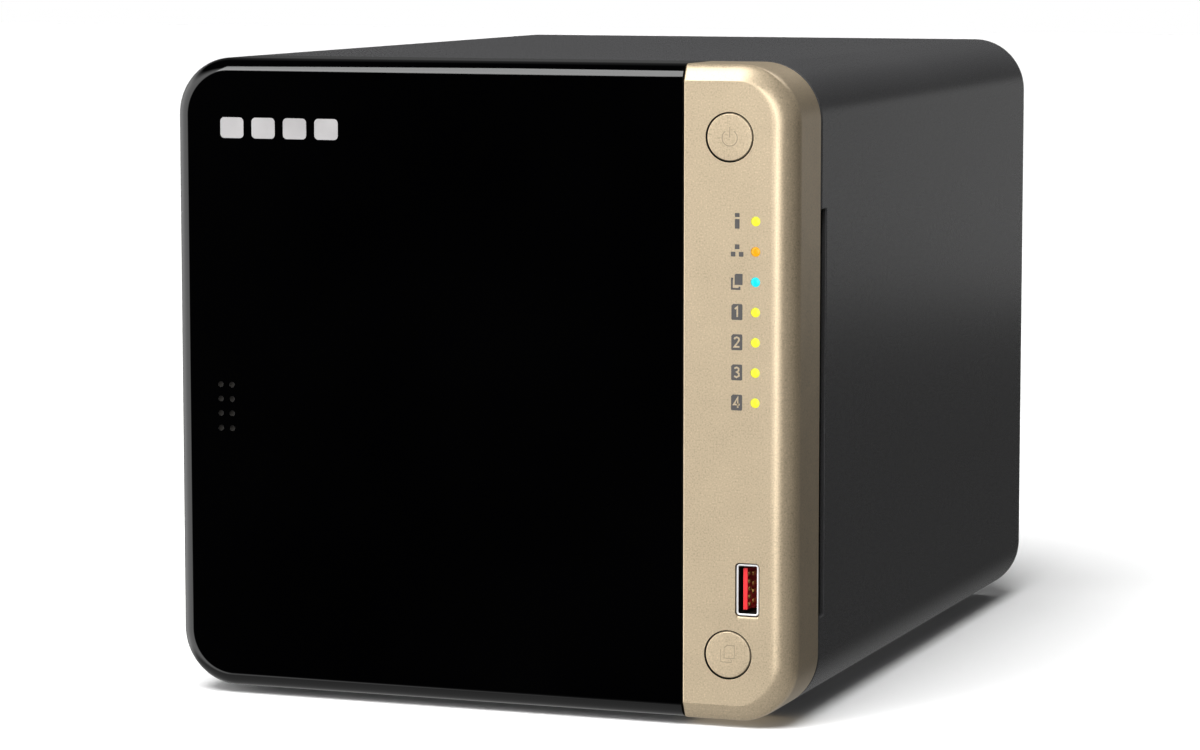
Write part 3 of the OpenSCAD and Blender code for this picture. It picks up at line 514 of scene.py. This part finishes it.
def make_cover():
    """The gloss cover: an open tray with soft edges, magnet bosses and eight finger marks."""
    quarter = quarter_turn(COVER_STEPS)
    inner_right = COVER_RIGHT - WALL
    rings = [cover_ring(COVER_FILLET * (1 - math.sin(a)),
                        max(FACE_D, COVER_FILLET * (1 - math.cos(a)))) for a in quarter]
    rings += [cover_ring(0, FRONT_DEPTH), cover_ring(WALL, FRONT_DEPTH, inner_right)]
    rings += [cover_ring(WALL + INNER_FILLET * (1 - math.sin(a)),
                         WALL + INNER_FILLET * (1 - math.cos(a)), inner_right)
              for a in reversed(quarter)]
    obj = solid_object("front_cover_shell", [loft(rings)])
    carve(obj, [block(inner_right - CUT, COVER_RIGHT + CUT, RIM_D, FRONT_DEPTH + CUT,
                      BOTTOM + WALL, TOP - WALL)])
    carve(obj, [lathe(x, z, [(BOSS_R, WALL - 0.2), (BOSS_R, BOSS_D)], 40) for x, z in MAGNETS],
          "UNION")
    carve(obj, [lathe(x, z, [(MAGNET_R, MAGNET_D), (MAGNET_R, BOSS_D + CUT)], 40)
                for x, z in MAGNETS])
    ball = [math.pi * i / 16 for i in range(17)]
    profile = [(DIMPLE_R * math.sin(a), DIMPLE_D - DIMPLE_R - DIMPLE_R * math.cos(a)) for a in ball]
    for x, z in DIMPLES:
        carve(obj, [lathe(x, z, profile, 32)])
    round_edges(obj, 0.22, 3, 35)
    finish_piece(obj, BY_SLOT["cover_black"], "front_cover", ["front_cover"])
    # painted shade: the floors of the finger marks are made dull near-black
    paint_faces(obj, SHADOW, in_dimple)


def in_dimple(x, d, z):
    """True on the floors of the finger marks, which get a painted shade."""
    return (FACE_D + 0.01 < d < DIMPLE_D
            and min(math.hypot(x - px, z - pz) for px, pz in DIMPLES) < DIMPLE_R)


def make_mark():
    """A plain printed mark: four equal bars, one for each bay."""
    width, height, gap, corner_r = 6.6, 5.4, 2.3, 1.1
    left, low = -71.9, 146.8
    starts = [left + i * (width + gap) for i in range(4)]
    bars = [prism(rounded(x, x + width, low, low + height, corner_r), *INK_D) for x in starts]
    piece("cover_mark", bars, MARK, "front_cover")


make_cover()
make_mark()

# ---- Gold control column ----

FILLET_X, FILLET_Z, FILLET_D = 6.8, 4.3, 5
TOP_EDGE_D, TOP_EDGE_POWER = 2.5, 1.5   # the top and bottom edges are cut flatter than the side's
INNER_LEFT = COLUMN_LEFT + 1.8
COLUMN_STEPS = 16
COLUMN_BOSSES = [(61.5, 66), (61.5, 112)]
BUTTON_X, BUTTON_R = limits("power_button")[1] - 7.1, 6
BUTTON_Z = {name: sum(limits(name)[4:6]) / 2 for name in ("power_button", "copy_button")}
LAMP_X = sum(limits("led_status")[:2]) / 2
LAMP_TOP_Z = sum(limits("led_status")[4:6]) / 2
LAMP_PITCH = LAMP_TOP_Z - sum(limits("led_network")[4:6]) / 2
LAMP_R = 1.2
LAMP_Z = [LAMP_TOP_Z - n * LAMP_PITCH for n in range(7)]
BOARD_D = limits("front_board")[2]
BUTTON_GAP, LAMP_GAP, USB_GAP = 0.3, 0.05, 0.3
SHADE_D, SHADE_R = 0.3, BUTTON_R + 1.3    # the walls of the button gaps carry painted shade from this depth on
USB = limits("front_usb_shell")
USB_HOLE_R = 1.1


def column_ring(inset_x, inset_z, d, left=COLUMN_LEFT):
    """Outline of the column, moved in at its side by inset_x and at its ends by inset_z."""
    rx, rz = CORNER_R - inset_x, CORNER_R - inset_z
    x, low, high = RIGHT - CORNER_R, BOTTOM + CORNER_R, TOP - CORNER_R
    outline = ([(left, BOTTOM + inset_z)] + arc(x, low, rx, rz, 270, 90, 20)
               + arc(x, high, rx, rz, 0, 90, 20) + [(left, TOP - inset_z)])
    return [at(px, d, pz) for px, pz in outline]


def column_shell():
    """The column as a hollow wall with soft edges, before anything is cut into it."""
    quarter = quarter_turn(COLUMN_STEPS)
    rings = []
    # the second step lies within a hair of the first, so it is left out
    for a in quarter[:1] + quarter[2:]:
        d = max(FACE_D, FILLET_D * (1 - math.cos(a)))
        rings.append(column_ring(FILLET_X * (1 - math.sin(a)),
                                 FILLET_Z * max(0, 1 - d / TOP_EDGE_D) ** TOP_EDGE_POWER, d))
    rings += [column_ring(0, 0, FRONT_DEPTH), column_ring(WALL, WALL, FRONT_DEPTH, INNER_LEFT)]
    rx, rz, rd = [size - WALL / 2 for size in (FILLET_X, FILLET_Z, FILLET_D)]
    rings += [column_ring(WALL + rx * (1 - math.sin(a)), WALL + rz * (1 - math.sin(a)),
                          WALL + rd * (1 - math.cos(a)), INNER_LEFT) for a in reversed(quarter)]
    obj = solid_object("control_column", [loft(rings)])
    round_edges(obj, 0.45, 4, 60, clamp=False)
    settle(obj)
    return obj


def through_hole(x, z, r, steps):
    """A round cutter through the column's front wall."""
    return lathe(x, z, [(r, -CUT), (r, WALL + CUT)], steps)


def make_column():
    """The gold column, with its screw bosses and its openings for buttons, lamps and socket."""
    obj = column_shell()
    boss_r, hole_r, hole_depth = 2.6, 1.2, 6
    carve(obj, [lathe(x, z, [(boss_r, WALL - 0.3), (boss_r, BOARD_D)], 32)
                for x, z in COLUMN_BOSSES], "UNION")
    holes = [lathe(x, z, [(hole_r, BOARD_D - hole_depth), (hole_r, BOARD_D + CUT)], 24)
             for x, z in COLUMN_BOSSES]
    holes += [through_hole(BUTTON_X, z, BUTTON_R + BUTTON_GAP, 96) for z in BUTTON_Z.values()]
    holes += [through_hole(LAMP_X, z, LAMP_R + LAMP_GAP, 40) for z in LAMP_Z]
    low = USB[4] - USB_GAP
    opening = rounded(USB[0] - USB_GAP, USB[1] + USB_GAP, low, USB[5] + USB_GAP, USB_HOLE_R)
    holes += [prism(opening, -CUT, WALL + CUT)]
    carve(obj, holes)
    # a bevel under the socket catches the light
    front, back, drop, lap = -0.2, 0.47, 1.25, 0.4
    wedge = [(front, low - drop), (front, low + lap), (back, low + lap)]
    carve(obj, [loft([[at(x, d, z) for d, z in wedge] for x in (USB[0] + 0.1, USB[1] - 0.1)])])
    round_edges(obj, 0.10, 3, 50)
    finish_piece(obj, BY_SLOT["column_gold"], "chassis", ["control_panel"])
    # painted shade on the walls of the gaps round the buttons
    paint_faces(obj, SHADOW, in_button_gap)


def in_button_gap(x, d, z):
    """True on the walls of the gaps round the two buttons, which get a painted shade."""
    return d > SHADE_D and any(math.hypot(x - BUTTON_X, z - middle) < SHADE_R
                              for middle in BUTTON_Z.values())


CAP_D, CAP_EDGE_R = 0.1, 0.5
CAP_FLAT_R = BUTTON_R - 2           # the signs lie within this circle
FLANGE_W, FLANGE_D = 1.1, (2.5, 3.5)
STEM_R = 1.5
ENGRAVED_D, LINE_W = 0.16, 0.22


def button_profile():
    """Half of a button's section: a soft front edge, a retaining flange and a stem."""
    stem_d = limits("power_button")[3]
    front, back = FLANGE_D
    return ([(0, CAP_D), (CAP_FLAT_R, CAP_D)] + soft_edge(BUTTON_R, CAP_D, CAP_EDGE_R)
            + [(BUTTON_R, front), (BUTTON_R + FLANGE_W, front), (BUTTON_R + FLANGE_W, back),
               (STEM_R, back), (STEM_R, stem_d), (0, stem_d)])


def make_buttons():
    """The two caps, with a power sign and an overlapping-pages sign engraved in them."""
    z = BUTTON_Z["power_button"]
    ring = arc(BUTTON_X, z - 0.2, 2.0, 2.0, 125, 290, 28)
    sign = {"power_button": [ring, [(BUTTON_X, z - 0.1), (BUTTON_X, z + 2.5)]]}
    x, z = BUTTON_X, BUTTON_Z["copy_button"]
    pages = [[(x - 1.0, z - 0.9), (x - 1.0, z + 1.7), (x - 0.2, z + 2.4), (x + 1.7, z + 2.4),
              (x + 1.7, z - 0.9), (x - 1.0, z - 0.9)],
             [(x - 1.9, z + 1.2), (x - 1.9, z - 1.9), (x + 0.9, z - 1.9), (x + 0.9, z - 1.35)]]
    sign["copy_button"] = [lengthened(a, b, LINE_W / 2)
                           for page in pages for a, b in zip(page, page[1:])]
    for name, z in BUTTON_Z.items():
        obj = solid_object(name + "_cap", [lathe(BUTTON_X, z, button_profile(), 96)])
        for path in sign[name]:
            carve(obj, [stroke(path, LINE_W, -CUT, ENGRAVED_D)])
        finish_piece(obj, BY_SLOT["button_gold"], name, [name])
        # painted shade on the cap's side behind its soft edge
        paint_faces(obj, SHADOW, lambda px, d, pz: d > CAP_D + CAP_EDGE_R + 0.05)
        # painted shade: the engraved signs' grooves get the darker gold
        paint_faces(obj, GROOVE_SHADE, lambda px, d, pz: d > CAP_D + 0.005
                    and math.hypot(px - BUTTON_X, pz - z) < CAP_FLAT_R)


def make_lamps():
    """Lit lenses: a low dome in the column's face on a light guide to the board."""
    rim_d, height = 0.30, 0.25
    dome = [(LAMP_R * math.sin(a), rim_d - height * math.cos(a)) for a in quarter_turn(9)]
    profile = dome + [(LAMP_R, BOARD_D), (0, BOARD_D)]
    for node, slot, rows in (("led_status", "lamp_yellow", LAMP_Z[:1]),
                             ("led_network", "lamp_amber", LAMP_Z[1:2]),
                             ("led_copy", "lamp_cyan", LAMP_Z[2:3]),
                             ("led_bays", "lamp_yellow", LAMP_Z[3:])):
        solids = [lathe(LAMP_X, z, profile, 40) for z in rows]
        piece(node + "_lens", solids, BY_SLOT[slot], "chassis", [node])


ICON_X = LAMP_X - 4.8
DIGIT_W = 0.42
# the strokes of the bays' numbers, from the middle of each
DIGITS = {
    1: [[(-0.55, 0.75), (0.1, 1.25), (0.1, -1.25)]],
    2: [[(-0.62, 0.72), (-0.5, 1.05), (0, 1.25), (0.5, 1.05), (0.6, 0.6), (0.3, 0.05),
         (-0.62, -1.15), (0.7, -1.15)]],
    3: [[(-0.6, 1.0), (0, 1.25), (0.5, 1.0), (0.5, 0.45), (0, 0.1), (0.55, -0.25), (0.6, -0.85),
         (0, -1.22), (-0.65, -0.95)]],
    4: [[(0.3, -1.3), (0.3, 1.25), (-0.75, -0.5), (0.8, -0.5)]],
}


def status_sign(x, z):
    """A square over a bar."""
    half = 0.62
    return [rounded(x - half, x + half, z + 1.0, z + 2.0, 0.12, 2),
            rounded(x - half, x + half, z - 1.9, z + 0.5, 0.12, 2)]


def network_sign(x, z):
    """One square above two."""
    half, apart = 0.6, 1.05
    return ([rounded(x - half, x + half, z + 0.55, z + 1.75, 0.1, 2)]
            + [rounded(x + s - half, x + s + half, z - 1.3, z - 0.1, 0.1, 2)
               for s in (-apart, apart)])


def page_sign(x, z):
    """A page with one cut corner."""
    return [(x - 0.65, z - 0.8), (x + 1.45, z - 0.8), (x + 1.45, z + 2.0), (x - 0.3, z + 2.0),
            (x - 0.65, z + 1.65)]


def badge(x, z):
    """The tile behind a bay's number, with three round corners and one cut one."""
    side, height, r = 1.15, 1.7, 0.3
    return (arc(x + side, z + height, r, r, 0, 90, 3) + [(x - 1.0, z + 2.0), (x - 1.45, z + 1.55)]
            + arc(x - side, z - height, r, r, 180, 90, 3)
            + arc(x + side, z - height, r, r, 270, 90, 3))


def make_icons():
    """Small printed signs beside the lamps: status, network, copy and the bays' numbers."""
    x = ICON_X
    status_z, network_z, copy_z, *bays_z = LAMP_Z
    signs = status_sign(x, status_z) + network_sign(x, network_z) + [page_sign(x, copy_z)]
    solids = [prism(outline, *INK_D) for outline in signs]
    z = copy_z
    second_page = [(x - 1.0, z + 0.75), (x - 1.35, z + 0.75), (x - 1.35, z - 1.8),
                   (x + 0.65, z - 1.8), (x + 0.65, z - 1.2)]
    solids.append(stroke(second_page, 0.5, *INK_D))
    solids += [prism(badge(x, z), *INK_D) for z in bays_z]
    piece("column_print", solids, PRINT, "chassis")
    numbers = [stroke([(x + px, z + pz) for px, pz in path], DIGIT_W, 0, INK_D[1])
               for n, z in enumerate(bays_z, 1) for path in DIGITS[n]]
    piece("column_numbers", numbers, BY_SLOT["column_gold"], "chassis")


make_column()
make_buttons()
make_lamps()
make_icons()

# ---- Front USB socket ----


def tube(x0, x1, z0, z1, r, thick, d0, d1, lip):
    """A pressed rectangular tube with round corners, whose mouth is rolled outwards a little."""
    def ring(inset, d):
        outline = rounded(x0 + inset, x1 - inset, z0 + inset, z1 - inset, max(r - inset, 0.15))
        return [at(x, d, z) for x, z in outline]

    rings = [ring(thick / 2, d0), ring(lip / 2, d0 + lip / 4), ring(0, d0 + lip),
             ring(0, d1), ring(thick, d1), ring(thick, d0 + lip)]
    count = len(rings[0])
    points = [p for each in rings for p in each]
    faces = []
    for a in range(len(rings)):
        b = (a + 1) % len(rings)
        for i in range(count):
            j = (i + 1) % count
            faces.append((a * count + i, a * count + j, b * count + j, b * count + i))
    return points, faces


def make_front_usb():
    """The socket's tube, and its tongue with five short contacts before four longer ones."""
    x0, x1, d0, d1, z0, z1 = USB
    thick, corner_r, lip, lead = 0.5, 0.9, 0.2, 0.15
    shell = piece("front_usb_tube", [tube(x0, x1, z0, z1, corner_r, thick, d0 - lead, d1, lip)],
                  RIM, "chassis", ["front_usb_shell"])
    edge = thick - 0.05
    # painted shade inside the socket's tube, past its mouth
    paint_faces(shell, SHADOW, lambda x, d, z: d > d0 + 0.3 and x0 + edge < x < x1 - edge
                and z0 + edge < z < z1 - edge)
    left, right = x0 + 1.5, x0 + 2.65
    tongue_d0, tongue_d1, lap = 1.2, 10, 0.2
    solids = [block(left, right, tongue_d0, tongue_d1, z0 + 1.4, z1 - 1.1),
              block(x0 + thick, x1 - thick, tongue_d1 - lap, d1, z0 + thick, z1 - thick)]
    piece("front_usb_insulator", solids, BY_SLOT["red_plastic"], "chassis",
          ["front_usb_tongue"], 0.12)
    middle = (z0 + z1) / 2
    sunk, short_half, long_half = 0.05, 0.45, 0.5
    pads = [block(right - sunk, right + 0.10, 2.2, 3.8, z - short_half, z + short_half)
            for z in (middle + n * 1.95 for n in range(-2, 3))]
    pads += [block(right - sunk, right + 0.14, 5.3, 8.0, z - long_half, z + long_half)
             for z in (middle + n for n in (-3.5, -1.0, 1.0, 3.5))]
    piece("front_usb_contacts", pads, CONTACT, "chassis", (), 0.05)


make_front_usb()

# ---- Steel sleeve ----

OPEN_X = 68                         # the sleeve's two edges under the case stop here
AIR_SLOT_BACK, AIR_SLOT_LOW, AIR_SLOT_HIGH = 26, 26.25, 130.5
SCREW_INSET, SCREW_HOLE_R = 6.2, 1.8
TOP_SCREWS = [(-52, TOP - SCREW_INSET), (50, TOP - SCREW_INSET)]
LEFT_SCREW = (LEFT + SCREW_INSET, 30)
RIGHT_SCREW = (RIGHT - SCREW_INSET, 24)


def sleeve_outline(inset):
    """The sleeve's section, open at the bottom, moved in by inset."""
    r = CORNER_R - inset
    x, low, high = RIGHT - CORNER_R, BOTTOM + CORNER_R, TOP - CORNER_R
    return ([(OPEN_X, BOTTOM + inset)] + arc(x, low, r, r, 270, 90, 24)
            + arc(x, high, r, r, 0, 90, 24) + arc(-x, high, r, r, 90, 90, 24)
            + arc(-x, low, r, r, 180, 90, 24) + [(-OPEN_X, BOTTOM + inset)])


def make_sleeve():
    """The bent steel sleeve, with the air slot behind the column and the rear screw tabs."""
    profile = sleeve_outline(0) + sleeve_outline(SHELL_T)[::-1]
    obj = solid_object("case_sleeve", [prism(profile, SLEEVE_START, REAR)])
    carve(obj, [block(RIGHT - CORNER_R, RIGHT + CUT, SLEEVE_START - CUT, AIR_SLOT_BACK,
                      AIR_SLOT_LOW, AIR_SLOT_HIGH)])
    # the tabs are folded in at the rear edge, on the rear panel
    d0 = limits("rear_panel")[3]
    d1 = d0 + 1.2
    half_w, reach, lap = 6, 8, 0.4
    inner_top, inner_left, inner_right = TOP - SHELL_T, LEFT + SHELL_T, RIGHT - SHELL_T
    tabs = [block(x - half_w, x + half_w, d0, d1, inner_top - reach, inner_top + lap)
            for x, _ in TOP_SCREWS]
    z = LEFT_SCREW[1]
    tabs += [block(inner_left - lap, inner_left + reach + 1, d0, d1, z - half_w, z + half_w)]
    z = RIGHT_SCREW[1]
    tabs += [block(inner_right - reach - 1, inner_right + lap, d0, d1, z - half_w, z + half_w)]
    carve(obj, tabs, "UNION")
    carve(obj, [lathe(x, z, [(SCREW_HOLE_R, d0 - CUT), (SCREW_HOLE_R, d0 + 3)], 24)
                for x, z in TOP_SCREWS + [LEFT_SCREW, RIGHT_SCREW]])
    round_edges(obj, 0.3, 3, 40)
    finish_piece(obj, BY_SLOT["sleeve_steel"], "chassis", ["case_cover"])


make_sleeve()

# ---- Fan ----

FAN_X, FAN_Z = -12, 76
FAN_D0, FAN_D1 = limits("fan_rotor")[2:4]
FAN_FRAME_D = limits("fan_frame")[2]
BLADES = 9
TIP_R, HUB_R = 56.6, 19
SKIRT_D = FAN_FRAME_D + 21          # where the hub's skirt ends
HUB_T = 2
BLADE_D = FAN_FRAME_D + 11          # the depth of the blades' middle
PITCH, UNTWIST, SWEEP = 44, 16, 14  # in degrees: at the hub, and the changes towards the tip
CHORD, CHORD_GROWTH = 20, 11
CAMBER, HALF_BLADE_T = 2.2, 0.55
ALONG, ACROSS = 12, 10              # the steps of a blade from hub to tip, and across its chord


def blade_point(u, v, side, start):
    """A point of a blade: u runs from hub to tip, v across the chord, side is half its thickness."""
    r = HUB_R - 1 + u * (TIP_R - HUB_R + 1)
    pitch = math.radians(PITCH - UNTWIST * u)
    sweep = math.radians(start - SWEEP * u * u)
    chord = CHORD + CHORD_GROWTH * u
    camber = CAMBER * (1 - 4 * v * v)
    thick = side * (1 - 3.2 * v * v)
    turn = sweep + (v * chord * math.cos(pitch)) / r
    d = BLADE_D + v * chord * math.sin(pitch) * 0.86 - camber + thick
    d = min(max(d, FAN_D0 + 1.2), SKIRT_D)
    return at(FAN_X + r * math.cos(turn), d, FAN_Z + r * math.sin(turn))


def blade(start):
    """One twisted and cambered blade, which begins at the angle start, in degrees."""
    sheets = [[blade_point(i / ALONG, j / ACROSS - 0.5, side, start)
               for i in range(ALONG + 1) for j in range(ACROSS + 1)]
              for side in (HALF_BLADE_T, -HALF_BLADE_T)]
    row = ACROSS + 1
    back = len(sheets[0])
    faces = []
    for i in range(ALONG):
        for j in range(ACROSS):
            a = i * row + j
            square = (a, a + 1, a + row + 1, a + row)
            faces += [square, tuple(back + corner for corner in square)]
    for i in range(ALONG):
        for a in (i * row, i * row + ACROSS):
            faces.append((a, a + row, back + a + row, back + a))
    for j in range(ACROSS):
        for a in (j, ALONG * row + j):
            faces.append((a, a + 1, back + a + 1, back + a))
    return sheets[0] + sheets[1], faces


def make_fan_rotor():
    """The hub, hollow from behind, with its shaft and its blades."""
    floor_d, shaft_r = FAN_FRAME_D + 3.2, 1.5
    hub = ([(0, FAN_FRAME_D + 1)] + soft_edge(HUB_R, FAN_FRAME_D + 1, 2)
           + [(HUB_R, SKIRT_D), (HUB_R - HUB_T, SKIRT_D), (HUB_R - HUB_T, floor_d),
              (shaft_r, floor_d), (shaft_r, FAN_D1), (0, FAN_D1)])
    solids = [lathe(FAN_X, FAN_Z, hub, 72)]
    solids += [blade(b * 360 / BLADES) for b in range(BLADES)]
    piece("fan_wheel", solids, BY_SLOT["fan_plastic"], "fan_rotor", ["fan_rotor"])


make_fan_rotor()

# ---- Rear sockets ----

BOARD_FACE = limits("mainboard")[1]


def make_rear_details():
    """Contacts and insulators inside the rear sockets."""
    lan_d, lan_low = limits("network_port")[3:5]
    lan_pitch, lan_half = 1.02, 0.225
    pins = [block(BOARD_FACE + 1.7, BOARD_FACE + 2.15, lan_d - 12, lan_d - 2.5,
                  z - lan_half, z + lan_half)
            for z in (lan_low + 4.325 + n * lan_pitch for n in range(8))]
    usb_d, usb_low, usb_high = limits("rear_usb_ports")[3:6]
    middle = (usb_low + usb_high) / 2
    usb_pitch, usb_half = 2.4, 0.5
    sockets = (BOARD_FACE + 1, BOARD_FACE + 9.2)
    pins += [block(x + 1.95, x + 2.1, usb_d - 9, usb_d - 1.6, z - usb_half, z + usb_half)
             for x in sockets for z in (middle + s * usb_pitch for s in (-1.5, -0.5, 0.5, 1.5))]
    piece("rear_contacts", pins, CONTACT, "chassis", (), 0.04)
    tongues = [block(x + 0.25, x + 1.96, usb_d - 9.9, usb_d - 0.9, usb_low + 0.95, usb_high - 0.95)
               for x in sockets]
    piece("rear_usb_insulators", tongues, INSULATOR_BLUE, "chassis", (), 0.1)


make_rear_details()

# ---- CAD nodes that stay: softened edges and finished materials ----

PLAIN_EDGE = 0.1
EDGES = {"rear_panel": 0.15, "rubber_feet": 0.5, "front_frame": 0.3, "cage_side_walls": 0.15,
         "cage_decks": 0.15, "fan_frame": 0.4, "heatsink": 0.12, "panel_cable": 0.08,
         "cover_magnets": 0.2, "tray": 0.35, "tray_lever": 0.4, "tray_latch": 0.5}


def dress(node, obj):
    """Joins the split faces, rounds the edges and gives the node its material."""
    slot = obj.material_slots[0].material.name.split(".")[0]
    obj.material_slots[0].link = "OBJECT"
    obj.material_slots[0].material = BY_SLOT[slot]
    weld = obj.modifiers.new("weld", "WELD")
    weld.merge_threshold = 0.002 * MM
    width = EDGES.get(node.rstrip("_1234"), PLAIN_EDGE)
    round_edges(obj, width, 3 if width >= 0.3 else 2, 35)
    obj.modifiers.new("normals", "WEIGHTED_NORMAL").keep_sharp = True


for node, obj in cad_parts.items():
    if not obj.hide_render:
        dress(node, obj)

# ---- Floor, light and camera ----


def make_floor():
    """A wide pale floor. In reflections and bounced light the world's ground stands in for it."""
    f = Finish("floor_paper", Roughness=0.9)
    tone = f.noise(400, 2)
    f.feed("Base Color", f.ramp(tone, [(0.3, (0.86, 0.86, 0.86)), (0.7, (0.88, 0.88, 0.88))]))
    size = 6
    mesh = bpy.data.meshes.new("floor")
    mesh.from_pydata([(-size, -size, 0), (size, -size, 0), (size, size, 0), (-size, size, 0)], [],
                     [(0, 1, 2, 3)])
    floor = add_object("floor", mesh)
    mesh.materials.append(f.material)
    floor.visible_glossy = False
    floor.visible_diffuse = False


def softbox(name, place, aim, width, height, radiance):
    """A rectangular lamp at place that faces aim; radiance is how bright its face is."""
    data = bpy.data.lights.new(name, "AREA")
    data.shape = "RECTANGLE"
    data.size, data.size_y = width, height
    data.energy = radiance * math.pi * width * height
    lamp = add_object(name, data)
    lamp.location = place
    lamp.rotation_mode = "QUATERNION"
    lamp.rotation_quaternion = (Vector(aim) - Vector(place)).to_track_quat("-Z", "Y")
    lamp.visible_camera = False


def make_lights():
    """Softboxes for the front, the side and the back, and an even sun."""
    middle = (0, 0, 0.08)
    softbox("key", (-0.53, -1.16, 1.07), (0, -0.11, 0.165), 0.46, 1.15, 6.8)
    softbox("front_strip", (0.19, -1.7, 0.25), middle, 0.62, 1.0, 4.4)
    softbox("side_card", (0.34, 0.62, 0.12), (0.085, 0, 0.08), 0.5, 0.17, 0.25)
    softbox("rear_fill", (0.5, 1.2, 1.5), middle, 1.0, 0.8, 1.5)
    # an even light from above and a little in front keeps the whole floor pale
    data = bpy.data.lights.new("sky", "SUN")
    data.energy, data.angle = 4.4, math.radians(40)
    sky = add_object("sky", data)
    sky.rotation_euler.x = math.radians(28)
    sky.visible_glossy = False


def make_world():
    """White to the camera; a dim room with a bright left wall to everything else."""
    world = bpy.data.worlds.new("studio")
    bpy.context.scene.world = world
    world.use_nodes = True
    tree = world.node_tree
    tree.nodes.clear()

    def node(kind, links, **settings):
        """The first output of a new node of the world."""
        return add_node(tree, kind, links, **settings).outputs[0]

    def rise(value, start, end, amount):
        """Grows from 0 at start to amount at end."""
        return node("MapRange", [("Value", value), ("From Min", start), ("From Max", end),
                                 ("To Min", 0.0), ("To Max", amount)],
                    interpolation_type="SMOOTHSTEP")

    def times(a, b):
        return node("Math", [(0, a), (1, b)], operation="MULTIPLY")

    def plus(a, b):
        return node("Math", [(0, a), (1, b)], operation="ADD")

    way = add_node(tree, "TexCoord").outputs["Generated"]
    x, y, z = add_node(tree, "SeparateXYZ", [(0, way)]).outputs
    # a bright wall on the left, cut off towards the front and above, which fades to the rear
    sides = times(rise(x, -0.2, -0.45, 1.0), rise(y, -0.86, -0.81, 1.0))
    ends = times(rise(z, 0.6, 0.3, 1.0), rise(z, -0.55, -0.3, 1.0))
    left_wall = times(times(sides, ends), rise(y, 0.9, -0.1, 2.3))
    back_wall = rise(y, 0.2, 0.6, 0.08)
    ground = rise(z, -0.2, -0.65, 0.5)
    room = plus(plus(left_wall, back_wall), ground)
    dim = node("Background", [("Color", (1, 1, 1, 1)), ("Strength", room)])
    white = node("Background", [("Color", (1, 1, 1, 1)), ("Strength", 1.0)])
    seen = add_node(tree, "LightPath").outputs["Is Camera Ray"]
    both = node("MixShader", [(0, seen), (1, dim), (2, white)])
    add_node(tree, "OutputWorld", [(0, both)])


def make_camera():
    """The camera stands to the right of the front and a little above, as in the picture."""
    data = bpy.data.cameras.new("camera")
    data.lens, data.sensor_width = 123.35, 36
    data.clip_start, data.clip_end = 0.05, 50
    camera = add_object("camera", data)
    turn, rise = math.radians(20.1878), math.radians(6.3543)
    back = Vector((math.sin(turn) * math.cos(rise), -math.cos(turn) * math.cos(rise), math.sin(rise)))
    camera.location = (0.39003, -1.08316, 0.20386)
    camera.rotation_mode = "QUATERNION"
    camera.rotation_quaternion = (-back).to_track_quat("-Z", "Y")
    bpy.context.scene.camera = camera


make_floor()
make_lights()
make_world()
make_camera()
bpy.context.scene.view_settings.view_transform = "Standard"
